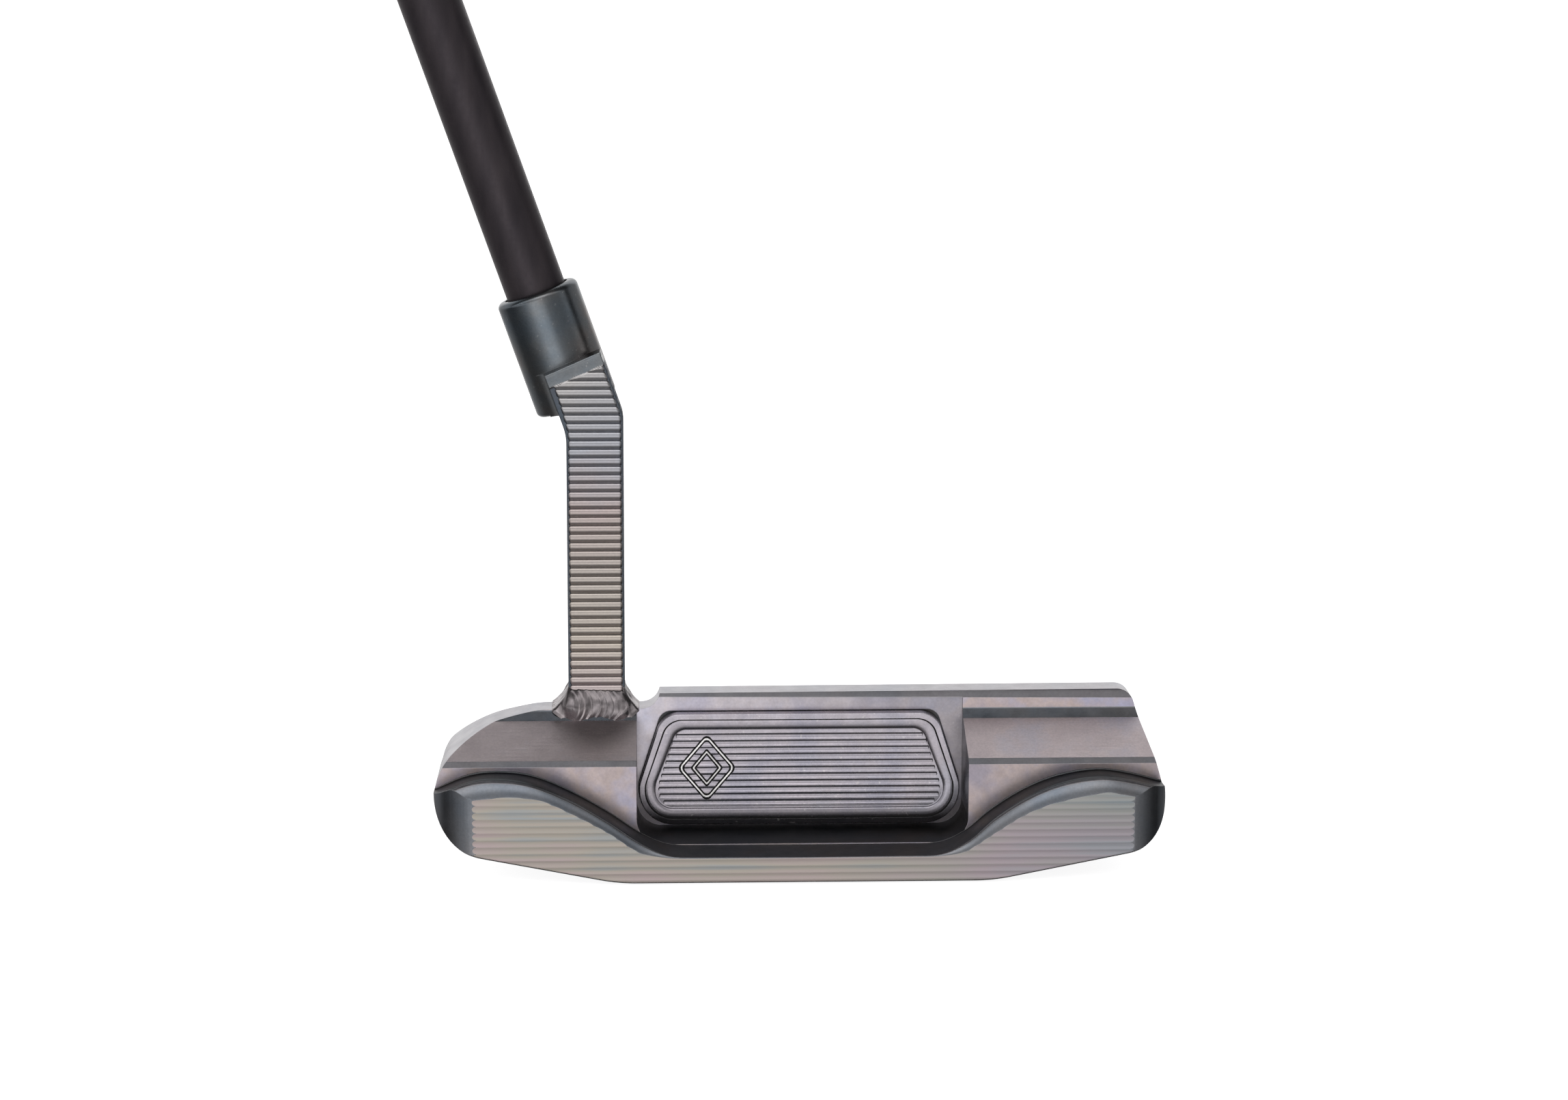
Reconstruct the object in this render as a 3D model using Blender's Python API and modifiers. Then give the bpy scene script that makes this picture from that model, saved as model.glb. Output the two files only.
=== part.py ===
"""A right-handed blade putter with a welded plumber's neck.

Metres, +Z up. The flat of the sole rests on z = 0 with its middle at the origin. The face looks along +Y,
the toe is at +X and the shaft leans back over the heel, towards -X.
"""

import math

import bmesh
import bpy
from mathutils import Matrix, Vector

MM = 0.001

# Blade. "Depth" is measured back from the top of the face, along -Y.
FACE_Y = 12.25 * MM
BLADE_DEPTH = 24.5 * MM
BLADE_HEIGHT = 26.0 * MM
LOFT = math.radians(3.0)
HEEL_X = -57.2 * MM
TOE_X = 57.1 * MM
HEEL_LAND_HEIGHT = 23.35 * MM
HEEL_CORNER_RADIUS = 7.0 * MM
TOE_CORNER_RADIUS = 6.2 * MM

# Top of the heel seen from behind, from the foot of the neck down to the heel: (x, z) in millimetres
CROWN = (
    (-39.5, 23.35), (-42.3, 23.1), (-47.3, 22.0), (-50.2, 20.9), (-52.5, 19.7), (-54.3, 18.5), (-55.5, 17.4),
    (-56.4, 15.8), (-56.9, 14.2),
)

# Steps behind the top line, from the top down
TOPLINE_DEPTH = 4.6 * MM
TOPLINE_CHAMFER = 0.9 * MM
LEDGE_FILLET = 1.2 * MM
RAMP_TOP = (6.0 * MM, 22.0 * MM)
RAMP_FOOT = (16.3 * MM, 17.6 * MM)
BUMPER_DEPTH = 17.0 * MM
BUMPER_BROW = 16.75 * MM

# Cavity between the bumpers
POCKET_LEFT = -25.65 * MM
POCKET_RIGHT = 26.45 * MM
POCKET_FLOOR = 4.2 * MM
POCKET_CORNER = 4.0 * MM
POCKET_WALL_DEPTH = 5.2 * MM

# Bumper crest where it leaves the blade, and where it rolls over into the rear wall: (x, z) in millimetres
CREST = (
    (-57.0, 13.6), (-52.0, 15.75), (-47.4, 16.3), (-42.0, 15.6), (-36.0, 13.1), (-30.0, 9.6),
    (-25.0, 6.2), (-21.0, 4.5), (-17.0, 4.2), (17.0, 4.2), (22.0, 4.45), (26.0, 6.3), (30.0, 9.7),
    (35.0, 12.9), (40.0, 15.0), (46.0, 16.05), (51.0, 15.55), (57.0, 14.0),
)
WALL_TOP = (
    (-57.0, 12.2), (-50.5, 13.4), (-45.0, 13.85), (-40.3, 13.2), (-35.7, 11.1), (-30.0, 8.0),
    (-25.5, 5.0), (-22.0, 4.1), (-17.0, 3.9), (17.0, 3.9), (22.0, 4.0), (25.3, 4.6), (29.7, 7.35),
    (34.4, 10.3), (38.7, 12.1), (42.9, 13.1), (47.5, 13.9), (51.4, 13.2), (57.0, 12.0),
)
CREST_FILLET = 1.1
CREST_FALL = 4.0
ROLL_DEPTH_CENTRE = 0.8
ROLL_DEPTH_BUMPER = 3.2

# Cavity pad and the film that bonds it
GAP = 0.25 * MM
FILM_THICKNESS = 0.2 * MM
PAD_THICKNESS = 1.4 * MM
PAD_CENTRE_X = 0.3 * MM
PAD_BOTTOM = 4.75 * MM
PAD_TOP = 22.85 * MM
PAD_TOP_HALF = 21.9 * MM
PAD_SHOULDER = 11.3 * MM
PAD_HALF = 25.6 * MM
PAD_RIM = 3.1 * MM
PAD_RECESS = 0.5 * MM
PAD_RIB_PITCH = 1.081 * MM
PAD_RIBS = 11

# Shaft axis: it passes over this point of the ground line and leans back towards the heel
AXIS_X = -9.8 * MM
AXIS_Y = FACE_Y + 5.0 * MM
LEAN = math.radians(19.45)

# Neck. "Along" is measured up the shaft axis from the ground line.
POST_LEFT = -36.45 * MM
POST_RIGHT = -27.5 * MM
POST_FRONT_DEPTH = 0.0
POST_REAR_DEPTH = 5.4 * MM
POST_FOOT = HEEL_LAND_HEIGHT + GAP
SLEEVE_RADIUS = 6.6 * MM
SLEEVE_FOOT = 74.7 * MM
SLEEVE_TOP = 94.5 * MM
POST_TOP = 82.1 * MM
POST_LEAN_EDGE = 6.5 * MM
SOCKET_FLOOR = 77.2 * MM
RIB_PITCH = 1.355 * MM
RIB_BORDER = 0.5 * MM
RIB_DEPTH = 0.35 * MM
FIRST_RIB = 26.6 * MM
RIBS = 38

# Weld: height, half length along X and half depth of the bead, in millimetres, from the bottom up
WELD_CENTRE_X = (POST_LEFT + POST_RIGHT) / 2 - 0.1 * MM
WELD_CENTRE_DEPTH = 3.7 * MM
WELD_SECTIONS = ((21.0, 7.6, 3.4), (22.6, 7.5, 3.3), (24.0, 7.1, 3.2), (25.6, 5.6, 2.7), (27.2, 4.7, 2.1))

# Shaft, bond and grip
SHAFT_RADIUS = 4.8 * MM
BUTT_RADIUS = 7.4 * MM
TAPER_START = 200.0 * MM
TAPER_END = 560.0 * MM
SHAFT_WALL = 0.6 * MM
CLUB_LENGTH = 864.0 * MM
BOND_THICKNESS = 0.15 * MM
BOND_GAP = 0.15 * MM
GRIP_LENGTH = 267.0 * MM
TAPE_THICKNESS = 0.3 * MM
GRIP_CAP = 3.0 * MM
VENT_RADIUS = 1.6 * MM
# Grip sections from the mouth to the butt: share of the length, half width, flat height, palm depth
GRIP_SECTIONS = (
    (0.00, 9.4, 9.2, 9.4), (0.10, 10.0, 9.3, 10.2), (0.30, 10.8, 9.6, 11.2), (0.50, 11.4, 10.0, 12.2),
    (0.68, 11.8, 10.4, 13.6), (0.82, 12.4, 10.8, 16.4), (0.92, 12.8, 11.0, 18.4), (0.985, 12.6, 10.9, 18.2),
    (1.00, 11.8, 10.2, 17.2),
)

SEGMENTS = 40
ARC_STEPS = 6


def clear_scene():
    for obj in list(bpy.data.objects):
        bpy.data.objects.remove(obj, do_unlink=True)


def new_collection(name):
    collection = bpy.data.collections.new(name)
    bpy.context.scene.collection.children.link(collection)
    return collection


def new_material(name, color, roughness, metallic):
    material = bpy.data.materials.new(name)
    material.use_nodes = True
    shader = material.node_tree.nodes["Principled BSDF"]
    shader.inputs["Base Color"].default_value = (*color, 1.0)
    shader.inputs["Roughness"].default_value = roughness
    shader.inputs["Metallic"].default_value = metallic
    return material


def add_object(name, mesh, collection, material=None):
    obj = bpy.data.objects.new(name, mesh)
    collection.objects.link(obj)
    if material:
        mesh.materials.clear()
        mesh.materials.append(material)
    return obj


def shade_round(obj, angle=35):
    obj.data.shade_smooth()
    obj.data.set_sharp_from_angle(angle=math.radians(angle))


# Outlines


def arc(centre, radius, start, end, steps=ARC_STEPS):
    """Points on an arc, with the angles in degrees."""
    points = []
    for i in range(steps + 1):
        angle = math.radians(start + (end - start) * i / steps)
        points.append((centre[0] + radius * math.cos(angle), centre[1] + radius * math.sin(angle)))
    return points


def rounded(corners):
    """A closed outline through (x, z, radius) corners, each rounded by its own radius."""
    points = []
    count = len(corners)
    for i, (x, z, radius) in enumerate(corners):
        here = Vector((x, z))
        before = (Vector(corners[i - 1][:2]) - here).normalized()
        after = (Vector(corners[(i + 1) % count][:2]) - here).normalized()
        if radius <= 0:
            points.append((x, z))
            continue
        half = before.angle(after) / 2
        centre = here + (before + after).normalized() * (radius / math.sin(half))
        first = here + before * (radius / math.tan(half)) - centre
        last = here + after * (radius / math.tan(half)) - centre
        for step in range(ARC_STEPS + 1):
            spoke = first.lerp(last, step / ARC_STEPS).normalized() * radius
            points.append((centre.x + spoke.x, centre.y + spoke.y))
    return points


def smooth_value(points, x):
    """A smooth curve through (x, value) points, level at both ends."""
    x = min(max(x, points[0][0]), points[-1][0])
    last = len(points) - 1
    i = max(k for k in range(last) if points[k][0] <= x)
    slopes = []
    for k in (i, i + 1):
        low, high = points[max(k - 1, 0)], points[min(k + 1, last)]
        slopes.append((high[1] - low[1]) / (high[0] - low[0]))
    (x0, v0), (x1, v1) = points[i], points[i + 1]
    run = x1 - x0
    t = (x - x0) / run
    return (
        (2 * t**3 - 3 * t**2 + 1) * v0
        + (t**3 - 2 * t**2 + t) * run * slopes[0]
        + (3 * t**2 - 2 * t**3) * v1
        + (t**3 - t**2) * run * slopes[1]
    )


def blade_outline():
    """The blade seen from behind, from the sole round the toe and over the top line to the heel."""
    toe = rounded(
        (
            (-28.5 * MM, 0.0, 30 * MM),
            (29.7 * MM, 0.0, 30 * MM),
            (TOE_X, 5.4 * MM, 7.8 * MM),
            (TOE_X, 13.2 * MM, 9 * MM),
            (53.3 * MM, BLADE_HEIGHT, 2.6 * MM),
            (-22.0 * MM, BLADE_HEIGHT, 0.0),
            (-24.9 * MM, HEEL_LAND_HEIGHT, 0.0),
            (HEEL_X, HEEL_LAND_HEIGHT, 0.0),
            (HEEL_X, 5.6 * MM, 9.4 * MM),
        )
    )
    sole_and_toe = toe[: 5 * (ARC_STEPS + 1)]
    heel_corner = toe[-(ARC_STEPS + 1) :]
    notch = arc((-24.9 * MM, HEEL_LAND_HEIGHT + 3 * MM), 3 * MM, -11.5, -90)
    crown = [(x * MM, z * MM) for x, z in CROWN]
    return sole_and_toe + notch + crown + heel_corner


def steps_profile(clearance=0.0):
    """The steps behind the top line as (depth, z), moved out by a clearance."""
    wall = TOPLINE_DEPTH + TOPLINE_CHAMFER + clearance
    fillet_centre = (wall + LEDGE_FILLET, RAMP_TOP[1] + 0.95 * MM + clearance)
    return [
        (TOPLINE_DEPTH + clearance, BLADE_HEIGHT + clearance),
        (wall, BLADE_HEIGHT - TOPLINE_CHAMFER + clearance),
        *arc(fillet_centre, LEDGE_FILLET, 180, 230, 4),
        (RAMP_FOOT[0] + clearance, RAMP_FOOT[1] + clearance),
        (BUMPER_DEPTH + clearance, BUMPER_BROW + clearance),
    ]


def pad_outline(inset=0.0):
    x, half, top_half = PAD_CENTRE_X, PAD_HALF - inset, PAD_TOP_HALF - inset * 0.9
    return rounded(
        (
            (x - half, PAD_BOTTOM + inset, 5.5 * MM - inset),
            (x + half, PAD_BOTTOM + inset, 5.5 * MM - inset),
            (x + half, PAD_SHOULDER, 4 * MM),
            (x + top_half, PAD_TOP - inset, 3.6 * MM - inset / 2),
            (x - top_half, PAD_TOP - inset, 3.6 * MM - inset / 2),
            (x - half, PAD_SHOULDER, 4 * MM),
        )
    )


def on_axis(along, across=0.0):
    """The (x, z) of a place along the shaft axis and across it towards the toe."""
    return (
        AXIS_X - math.sin(LEAN) * along + math.cos(LEAN) * across,
        math.cos(LEAN) * along + math.sin(LEAN) * across,
    )


def post_outline(inset=0.0):
    """The neck post seen from behind: upright from the weld, then leaning with the shaft."""
    left, right = POST_LEFT + inset, POST_RIGHT - inset
    lean_right = POST_LEAN_EDGE - inset
    lean_left = lean_right - (POST_RIGHT - POST_LEFT) * math.cos(LEAN) + 2 * inset
    bend_left = (on_axis(0, lean_left)[0] - left) / math.tan(LEAN) + on_axis(0, lean_left)[1]
    bend_right = (on_axis(0, lean_right)[0] - right) / math.tan(LEAN) + on_axis(0, lean_right)[1]
    top = POST_TOP - inset * 2
    return rounded(
        (
            (left, POST_FOOT, 0.0),
            (right, POST_FOOT, 0.0),
            (right, bend_right, 6 * MM),
            (*on_axis(top, lean_right), 0.3 * MM),
            (*on_axis(top, lean_left), 0.3 * MM),
            (left, bend_left, 8 * MM),
        )
    )


# Solids

UPRIGHT = Matrix.Rotation(math.radians(90), 4, "X")
SIDEWAYS = Matrix(((0, 0, 1, 0), (1, 0, 0, 0), (0, 1, 0, 0), (0, 0, 0, 1)))


def prism(name, outline, thickness, placement, collection, material=None):
    """A flat outline given a thickness, centred on its plane, as a mesh object."""
    curve = bpy.data.curves.new(name + "_outline", "CURVE")
    curve.dimensions = "2D"
    curve.fill_mode = "BOTH"
    curve.extrude = thickness / 2
    spline = curve.splines.new("POLY")
    spline.points.add(len(outline) - 1)
    spline.use_cyclic_u = True
    for point, (u, v) in zip(spline.points, outline):
        point.co = (u, v, 0, 1)
    guide = bpy.data.objects.new(name + "_outline", curve)
    collection.objects.link(guide)
    guide.matrix_world = placement
    bpy.context.view_layer.update()
    evaluated = guide.evaluated_get(bpy.context.evaluated_depsgraph_get())
    mesh = bpy.data.meshes.new_from_object(evaluated)
    mesh.name = name
    work = bmesh.new()
    work.from_mesh(mesh)
    bmesh.ops.remove_doubles(work, verts=work.verts, dist=1e-6)
    work.to_mesh(mesh)
    work.free()
    obj = add_object(name, mesh, collection, material)
    obj.matrix_world = guide.matrix_world
    bpy.data.objects.remove(guide, do_unlink=True)
    return obj


def from_behind(name, outline, depth, thickness, collection, material=None):
    """A prism of an (x, z) outline that starts at a depth behind the face and runs towards the rear."""
    placement = Matrix.Translation((0, FACE_Y - depth - thickness / 2, 0)) @ UPRIGHT
    return prism(name, outline, thickness, placement, collection, material)


def from_side(name, profile, width, middle, collection):
    """A prism of a (depth, z) profile that runs along X."""
    outline = [(FACE_Y - depth, z) for depth, z in profile]
    return prism(name, outline, width, Matrix.Translation((middle, 0, 0)) @ SIDEWAYS, collection)


def turned(name, profile, collection, material, parent):
    """A solid of revolution about the parent's Z axis, from (radius, height) points going down the outside."""
    mesh = bpy.data.meshes.new(name)
    count = len(profile)
    edges = [(i, (i + 1) % count) for i in range(count)]
    mesh.from_pydata([(radius, 0, height) for radius, height in profile], edges, [])
    obj = add_object(name, mesh, collection, material)
    obj.parent = parent
    screw = obj.modifiers.new("turn", "SCREW")
    screw.steps = SEGMENTS
    screw.render_steps = SEGMENTS
    screw.use_merge_vertices = True
    screw.merge_threshold = 0.00001
    screw.use_smooth_shade = True
    return obj


def boolean(obj, cutter, operation="DIFFERENCE"):
    modifier = obj.modifiers.new(cutter.name, "BOOLEAN")
    modifier.operation = operation
    modifier.object = cutter
    modifier.solver = "EXACT"


def loft(name, rings, collection, material=None):
    """A closed solid through rings of equal point counts."""
    work = bmesh.new()
    loops = [[work.verts.new(point) for point in ring] for ring in rings]
    count = len(loops[0])
    for low, high in zip(loops, loops[1:]):
        for i in range(count):
            j = (i + 1) % count
            work.faces.new((low[i], low[j], high[j], high[i]))
    work.faces.new(reversed(loops[0]))
    work.faces.new(loops[-1])
    bmesh.ops.recalc_face_normals(work, faces=work.faces)
    mesh = bpy.data.meshes.new(name)
    work.to_mesh(mesh)
    work.free()
    return add_object(name, mesh, collection, material)


# Blade


def bumper_section(x):
    """The top of the rear flange at one x: (depth, z) in millimetres from the blade to the rear wall."""
    crest = smooth_value(CREST, x)
    wall_top = smooth_value(WALL_TOP, x)
    swell = min(max((crest - CREST[8][1]) / CREST_FALL, 0.0), 1.0)
    fillet = 0.1 + CREST_FILLET * swell
    flat = crest - fillet
    roll = ROLL_DEPTH_CENTRE + (ROLL_DEPTH_BUMPER - ROLL_DEPTH_CENTRE) * swell
    front, rear = BUMPER_DEPTH / MM, BLADE_DEPTH / MM
    points = []
    for step in range(4):
        angle = math.radians(90 * step / 3)
        points.append((front + fillet * (1 - math.cos(angle)), crest - fillet * math.sin(angle)))
    for step in range(6):
        angle = math.radians(90 * step / 5)
        points.append((rear - roll + roll * math.sin(angle), wall_top + (flat - wall_top) * math.cos(angle)))
    return points


def bumper_cutter(collection):
    """Everything above the rear flange and behind the blade, lofted along X."""
    stations = [-60.0 + 3.0 * i for i in range(13)] + [-20.0, 0.0, 20.0] + [24.0 + 3.0 * i for i in range(13)]
    rings = []
    for x in stations:
        section = bumper_section(x)
        section += [(BLADE_DEPTH / MM + 2, section[-1][1] - 0.5), (BLADE_DEPTH / MM + 2, 40.0)]
        section += [(BUMPER_DEPTH / MM, 40.0)]
        rings.append([(x * MM, FACE_Y - depth * MM, z * MM) for depth, z in section])
    return loft("bumper_cutter", rings, collection)


def face_cutter(collection):
    """The half space in front of the lofted face."""
    size = 0.2
    outline = [(0, -size), (size, -size), (size, size), (0, size)]
    placement = Matrix.Translation((0, FACE_Y, BLADE_HEIGHT)) @ Matrix.Rotation(LOFT, 4, "X") @ SIDEWAYS
    return prism("face_cutter", outline, size, placement, collection)


def plan_outline():
    """The blade seen from above, with its rounded rear corners."""
    front, rear = FACE_Y + 3 * MM, FACE_Y - BLADE_DEPTH
    return rounded(
        (
            (HEEL_X - 0.2 * MM, rear, HEEL_CORNER_RADIUS),
            (TOE_X + 0.2 * MM, rear, TOE_CORNER_RADIUS),
            (TOE_X + 0.2 * MM, front, 1 * MM),
            (HEEL_X - 0.2 * MM, front, 1 * MM),
        )
    )


def steps_cutter(collection):
    profile = steps_profile()
    above = BLADE_HEIGHT + 15 * MM
    behind = BLADE_DEPTH + 5 * MM
    start = (profile[0][0] - 2 * MM, profile[0][1] + 2 * MM)
    outline = [start, *profile, (behind, profile[-1][1]), (behind, above), (start[0], above)]
    return from_side("steps_cutter", outline, 0.2, 0.0, collection)


def pocket_outline():
    above = BLADE_HEIGHT - TOPLINE_CHAMFER
    return rounded(
        (
            (POCKET_LEFT, POCKET_FLOOR, POCKET_CORNER),
            (POCKET_RIGHT, POCKET_FLOOR, POCKET_CORNER),
            (POCKET_RIGHT, above, 0.0),
            (POCKET_LEFT, above, 0.0),
        )
    )


def make_blade(parts, cutters, steel):
    blade = from_behind("head_body", blade_outline(), -3 * MM, BLADE_DEPTH + 3 * MM, parts, steel)
    plan = prism("plan_cutter", plan_outline(), 0.1, Matrix.Translation((0, 0, 0.01)), cutters)
    boolean(blade, plan, "INTERSECT")
    boolean(blade, face_cutter(cutters))
    boolean(blade, steps_cutter(cutters))
    boolean(blade, bumper_cutter(cutters))
    pocket = from_behind("pocket_cutter", pocket_outline(), POCKET_WALL_DEPTH, BLADE_DEPTH, cutters)
    boolean(blade, pocket)
    return blade


# Cavity pad


def make_pad(parts, cutters, steel, film):
    film_depth = POCKET_WALL_DEPTH + GAP
    pad_depth = film_depth + FILM_THICKNESS + GAP
    from_behind("pad_adhesive", pad_outline(1.5 * MM), film_depth, FILM_THICKNESS, parts, film)
    pad = from_behind("cavity_pad", pad_outline(), pad_depth, PAD_THICKNESS, parts, steel)
    floor = pad_depth + PAD_THICKNESS - PAD_RECESS
    recess = from_behind("pad_recess", pad_outline(PAD_RIM), floor - 1 * MM, 4 * MM, cutters)
    low = PAD_BOTTOM + PAD_RIM
    waves = [(floor + 5 * MM, low - 2 * MM), (floor, low - 2 * MM)]
    for i in range(PAD_RIBS + 1):
        start = low + i * PAD_RIB_PITCH
        waves += [(floor, start), (floor - 0.2 * MM, start + PAD_RIB_PITCH / 2)]
    top = PAD_TOP + 2 * MM
    waves += [(floor, top), (floor + 5 * MM, top)]
    boolean(recess, from_side("pad_waves", waves, 0.1, 0.0, cutters), "INTERSECT")
    boolean(pad, recess)


# Neck and weld


def make_neck(parts, cutters, steel, axis):
    thickness = POST_REAR_DEPTH - POST_FRONT_DEPTH
    neck = from_behind("neck", post_outline(), POST_FRONT_DEPTH, thickness, parts, steel)
    rib_face = from_behind("rib_face", post_outline(RIB_BORDER), POST_REAR_DEPTH - 1 * MM, 3 * MM, cutters)
    comb = [(POST_REAR_DEPTH + 1 * MM, FIRST_RIB - RIB_PITCH)]
    for i in range(RIBS + 1):
        groove = FIRST_RIB + (i - 0.5) * RIB_PITCH
        comb.append((POST_REAR_DEPTH + 0.2 * MM, groove - RIB_PITCH * 0.3))
        comb.append((POST_REAR_DEPTH - RIB_DEPTH, groove))
        comb.append((POST_REAR_DEPTH + 0.2 * MM, groove + RIB_PITCH * 0.3))
    comb.append((POST_REAR_DEPTH + 1 * MM, comb[-1][1] + RIB_PITCH))
    boolean(rib_face, from_side("rib_comb", comb, 0.1, -0.03, cutters), "INTERSECT")
    boolean(neck, rib_face)

    round_edge = 1.0 * MM
    rim_centre = (SLEEVE_RADIUS - round_edge, SLEEVE_TOP - round_edge)
    sleeve_profile = [
        (0.0, SLEEVE_TOP),
        *arc(rim_centre, round_edge, 90, 0, 3),
        (SLEEVE_RADIUS, SLEEVE_FOOT + round_edge),
        (SLEEVE_RADIUS - round_edge, SLEEVE_FOOT),
        (0.0, SLEEVE_FOOT),
    ]
    boolean(neck, turned("neck_sleeve", sleeve_profile, cutters, None, axis), "UNION")
    bore = SHAFT_RADIUS + BOND_THICKNESS + 2 * BOND_GAP
    above = SLEEVE_TOP + 5 * MM
    bore_profile = [(0.0, above), (bore, above), (bore, SOCKET_FLOOR), (0.0, SOCKET_FLOOR)]
    boolean(neck, turned("neck_bore", bore_profile, cutters, None, axis))


def make_weld(parts, cutters, steel):
    """One bead all round the foot of the post, clear of the post and of the blade by a gap."""
    rings = []
    for height, half_x, half_depth in WELD_SECTIONS:
        ring = []
        for i in range(SEGMENTS):
            angle = 2 * math.pi * i / SEGMENTS
            cos, sin = math.cos(angle), math.sin(angle)
            across = math.copysign(abs(cos) ** 0.5, cos) * half_x * MM
            along = math.copysign(abs(sin) ** 0.5, sin) * half_depth * MM
            ring.append((WELD_CENTRE_X + across, FACE_Y - WELD_CENTRE_DEPTH + along, height * MM))
        rings.append(ring)
    weld = loft("neck_weld", rings, parts, steel)
    seat = steps_profile(GAP)
    seat[0] = (seat[0][0], HEEL_LAND_HEIGHT + GAP)
    seat[1] = (seat[1][0], HEEL_LAND_HEIGHT + GAP)
    outline = [(-5 * MM, HEEL_LAND_HEIGHT + GAP), *seat, (BUMPER_DEPTH, 5 * MM), (-5 * MM, 5 * MM)]
    boolean(weld, from_side("weld_seat", outline, 0.1, -0.03, cutters))
    post = [
        (POST_LEFT - GAP, 0.015),
        (POST_RIGHT + GAP, 0.015),
        (POST_RIGHT + GAP, 0.035),
        (POST_LEFT - GAP, 0.035),
    ]
    thickness = POST_REAR_DEPTH - POST_FRONT_DEPTH + 2 * GAP
    boolean(weld, from_behind("weld_core", post, POST_FRONT_DEPTH - GAP, thickness, cutters))


# Shaft and grip


def shaft_radius(along):
    t = min(max((along - TAPER_START) / (TAPER_END - TAPER_START), 0.0), 1.0)
    return SHAFT_RADIUS + (BUTT_RADIUS - SHAFT_RADIUS) * t


def tube_profile(bottom, top, inner, outer):
    """A ring section whose inner and outer radii follow the shaft's taper by fixed offsets."""
    heights = [bottom] + [h for h in (TAPER_START, TAPER_END) if bottom < h < top] + [top]
    outside = [(shaft_radius(h) + outer, h) for h in reversed(heights)]
    inside = [(shaft_radius(h) + inner, h) for h in heights]
    return outside + inside


def make_shaft(parts, axis, black, epoxy, tape):
    tip = SOCKET_FLOOR + GAP
    top = CLUB_LENGTH - GRIP_CAP - 2 * GAP
    turned("shaft", tube_profile(tip, top, -SHAFT_WALL, 0.0), parts, black, axis)
    bond = tube_profile(tip, SLEEVE_TOP - 0.5 * MM, BOND_GAP, BOND_GAP + BOND_THICKNESS)
    turned("shaft_epoxy", bond, parts, epoxy, axis)
    mouth = CLUB_LENGTH - GRIP_LENGTH + 2 * MM
    layer = tube_profile(mouth, top - 1 * MM, GAP, GAP + TAPE_THICKNESS)
    turned("grip_tape", layer, parts, tape, axis)


def grip_ring(along, half_width, flat, palm):
    """One section of the pistol grip: its flat side looks towards the toe, its palm side towards the player."""
    ring = []
    for i in range(SEGMENTS):
        angle = 2 * math.pi * i / SEGMENTS
        cos, sin = math.cos(angle), math.sin(angle)
        power = 0.55 if cos > 0 else 0.9
        across = math.copysign(abs(cos) ** power, cos) * (flat if cos > 0 else palm)
        side = math.copysign(abs(sin) ** 0.85, sin) * half_width
        ring.append((across * MM, side * MM, along))
    return ring


def make_grip(parts, cutters, rubber, axis):
    start = CLUB_LENGTH - GRIP_LENGTH
    rings = [grip_ring(start + share * GRIP_LENGTH, *sizes) for share, *sizes in GRIP_SECTIONS]
    grip = loft("grip", rings, parts, rubber)
    grip.parent = axis
    shade_round(grip, 50)
    clear = TAPE_THICKNESS + 2 * GAP
    top = CLUB_LENGTH - GRIP_CAP
    radius = BUTT_RADIUS + clear
    bore = [(0.0, top), (radius, top), (radius, start - 5 * MM), (0.0, start - 5 * MM)]
    boolean(grip, turned("grip_bore", bore, cutters, None, axis))
    vent = [
        (0.0, CLUB_LENGTH + 5 * MM),
        (VENT_RADIUS, CLUB_LENGTH + 5 * MM),
        (VENT_RADIUS, top - 5 * MM),
        (0.0, top - 5 * MM),
    ]
    boolean(grip, turned("grip_vent", vent, cutters, None, axis))


def hide_cutters(cutters):
    for obj in cutters.objects:
        obj.hide_render = True
        obj.display_type = "WIRE"


def main():
    clear_scene()
    parts = new_collection("blade_putter")
    cutters = new_collection("cutters")
    cutters.hide_render = True
    steel = new_material("oil_blackened_steel", (0.32, 0.30, 0.30), 0.36, 1.0)
    pad_steel = new_material("milled_pad_steel", (0.30, 0.28, 0.32), 0.38, 1.0)
    neck_steel = new_material("blued_neck_steel", (0.28, 0.30, 0.31), 0.33, 1.0)
    weld_steel = new_material("weld_bead_steel", (0.24, 0.22, 0.22), 0.45, 1.0)
    film = new_material("bonding_film", (0.75, 0.75, 0.72), 0.6, 0.0)
    black = new_material("satin_black_shaft", (0.03, 0.028, 0.03), 0.42, 0.6)
    epoxy = new_material("cured_epoxy", (0.55, 0.45, 0.25), 0.3, 0.0)
    tape = new_material("grip_tape", (0.82, 0.80, 0.74), 0.8, 0.0)
    rubber = new_material("grip_rubber", (0.02, 0.02, 0.02), 0.75, 0.0)

    axis = bpy.data.objects.new("shaft_axis", None)
    parts.objects.link(axis)
    axis.location = (AXIS_X, AXIS_Y, 0)
    axis.rotation_euler = (0, -LEAN, 0)

    make_blade(parts, cutters, steel)
    make_pad(parts, cutters, pad_steel, film)
    make_neck(parts, cutters, neck_steel, axis)
    make_weld(parts, cutters, weld_steel)
    make_shaft(parts, axis, black, epoxy, tape)
    make_grip(parts, cutters, rubber, axis)
    hide_cutters(cutters)


main()
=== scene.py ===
"""Looks of the blade putter: an oil-blackened steel head, a ribbed neck, its weld, the shaft and the grip.

Shapes are worked out in millimetres. "Depth" is measured back from the top of the face, along -Y.
"""

import math

import bmesh
import bpy
import numpy as np
from mathutils import Matrix, Vector, noise


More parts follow.
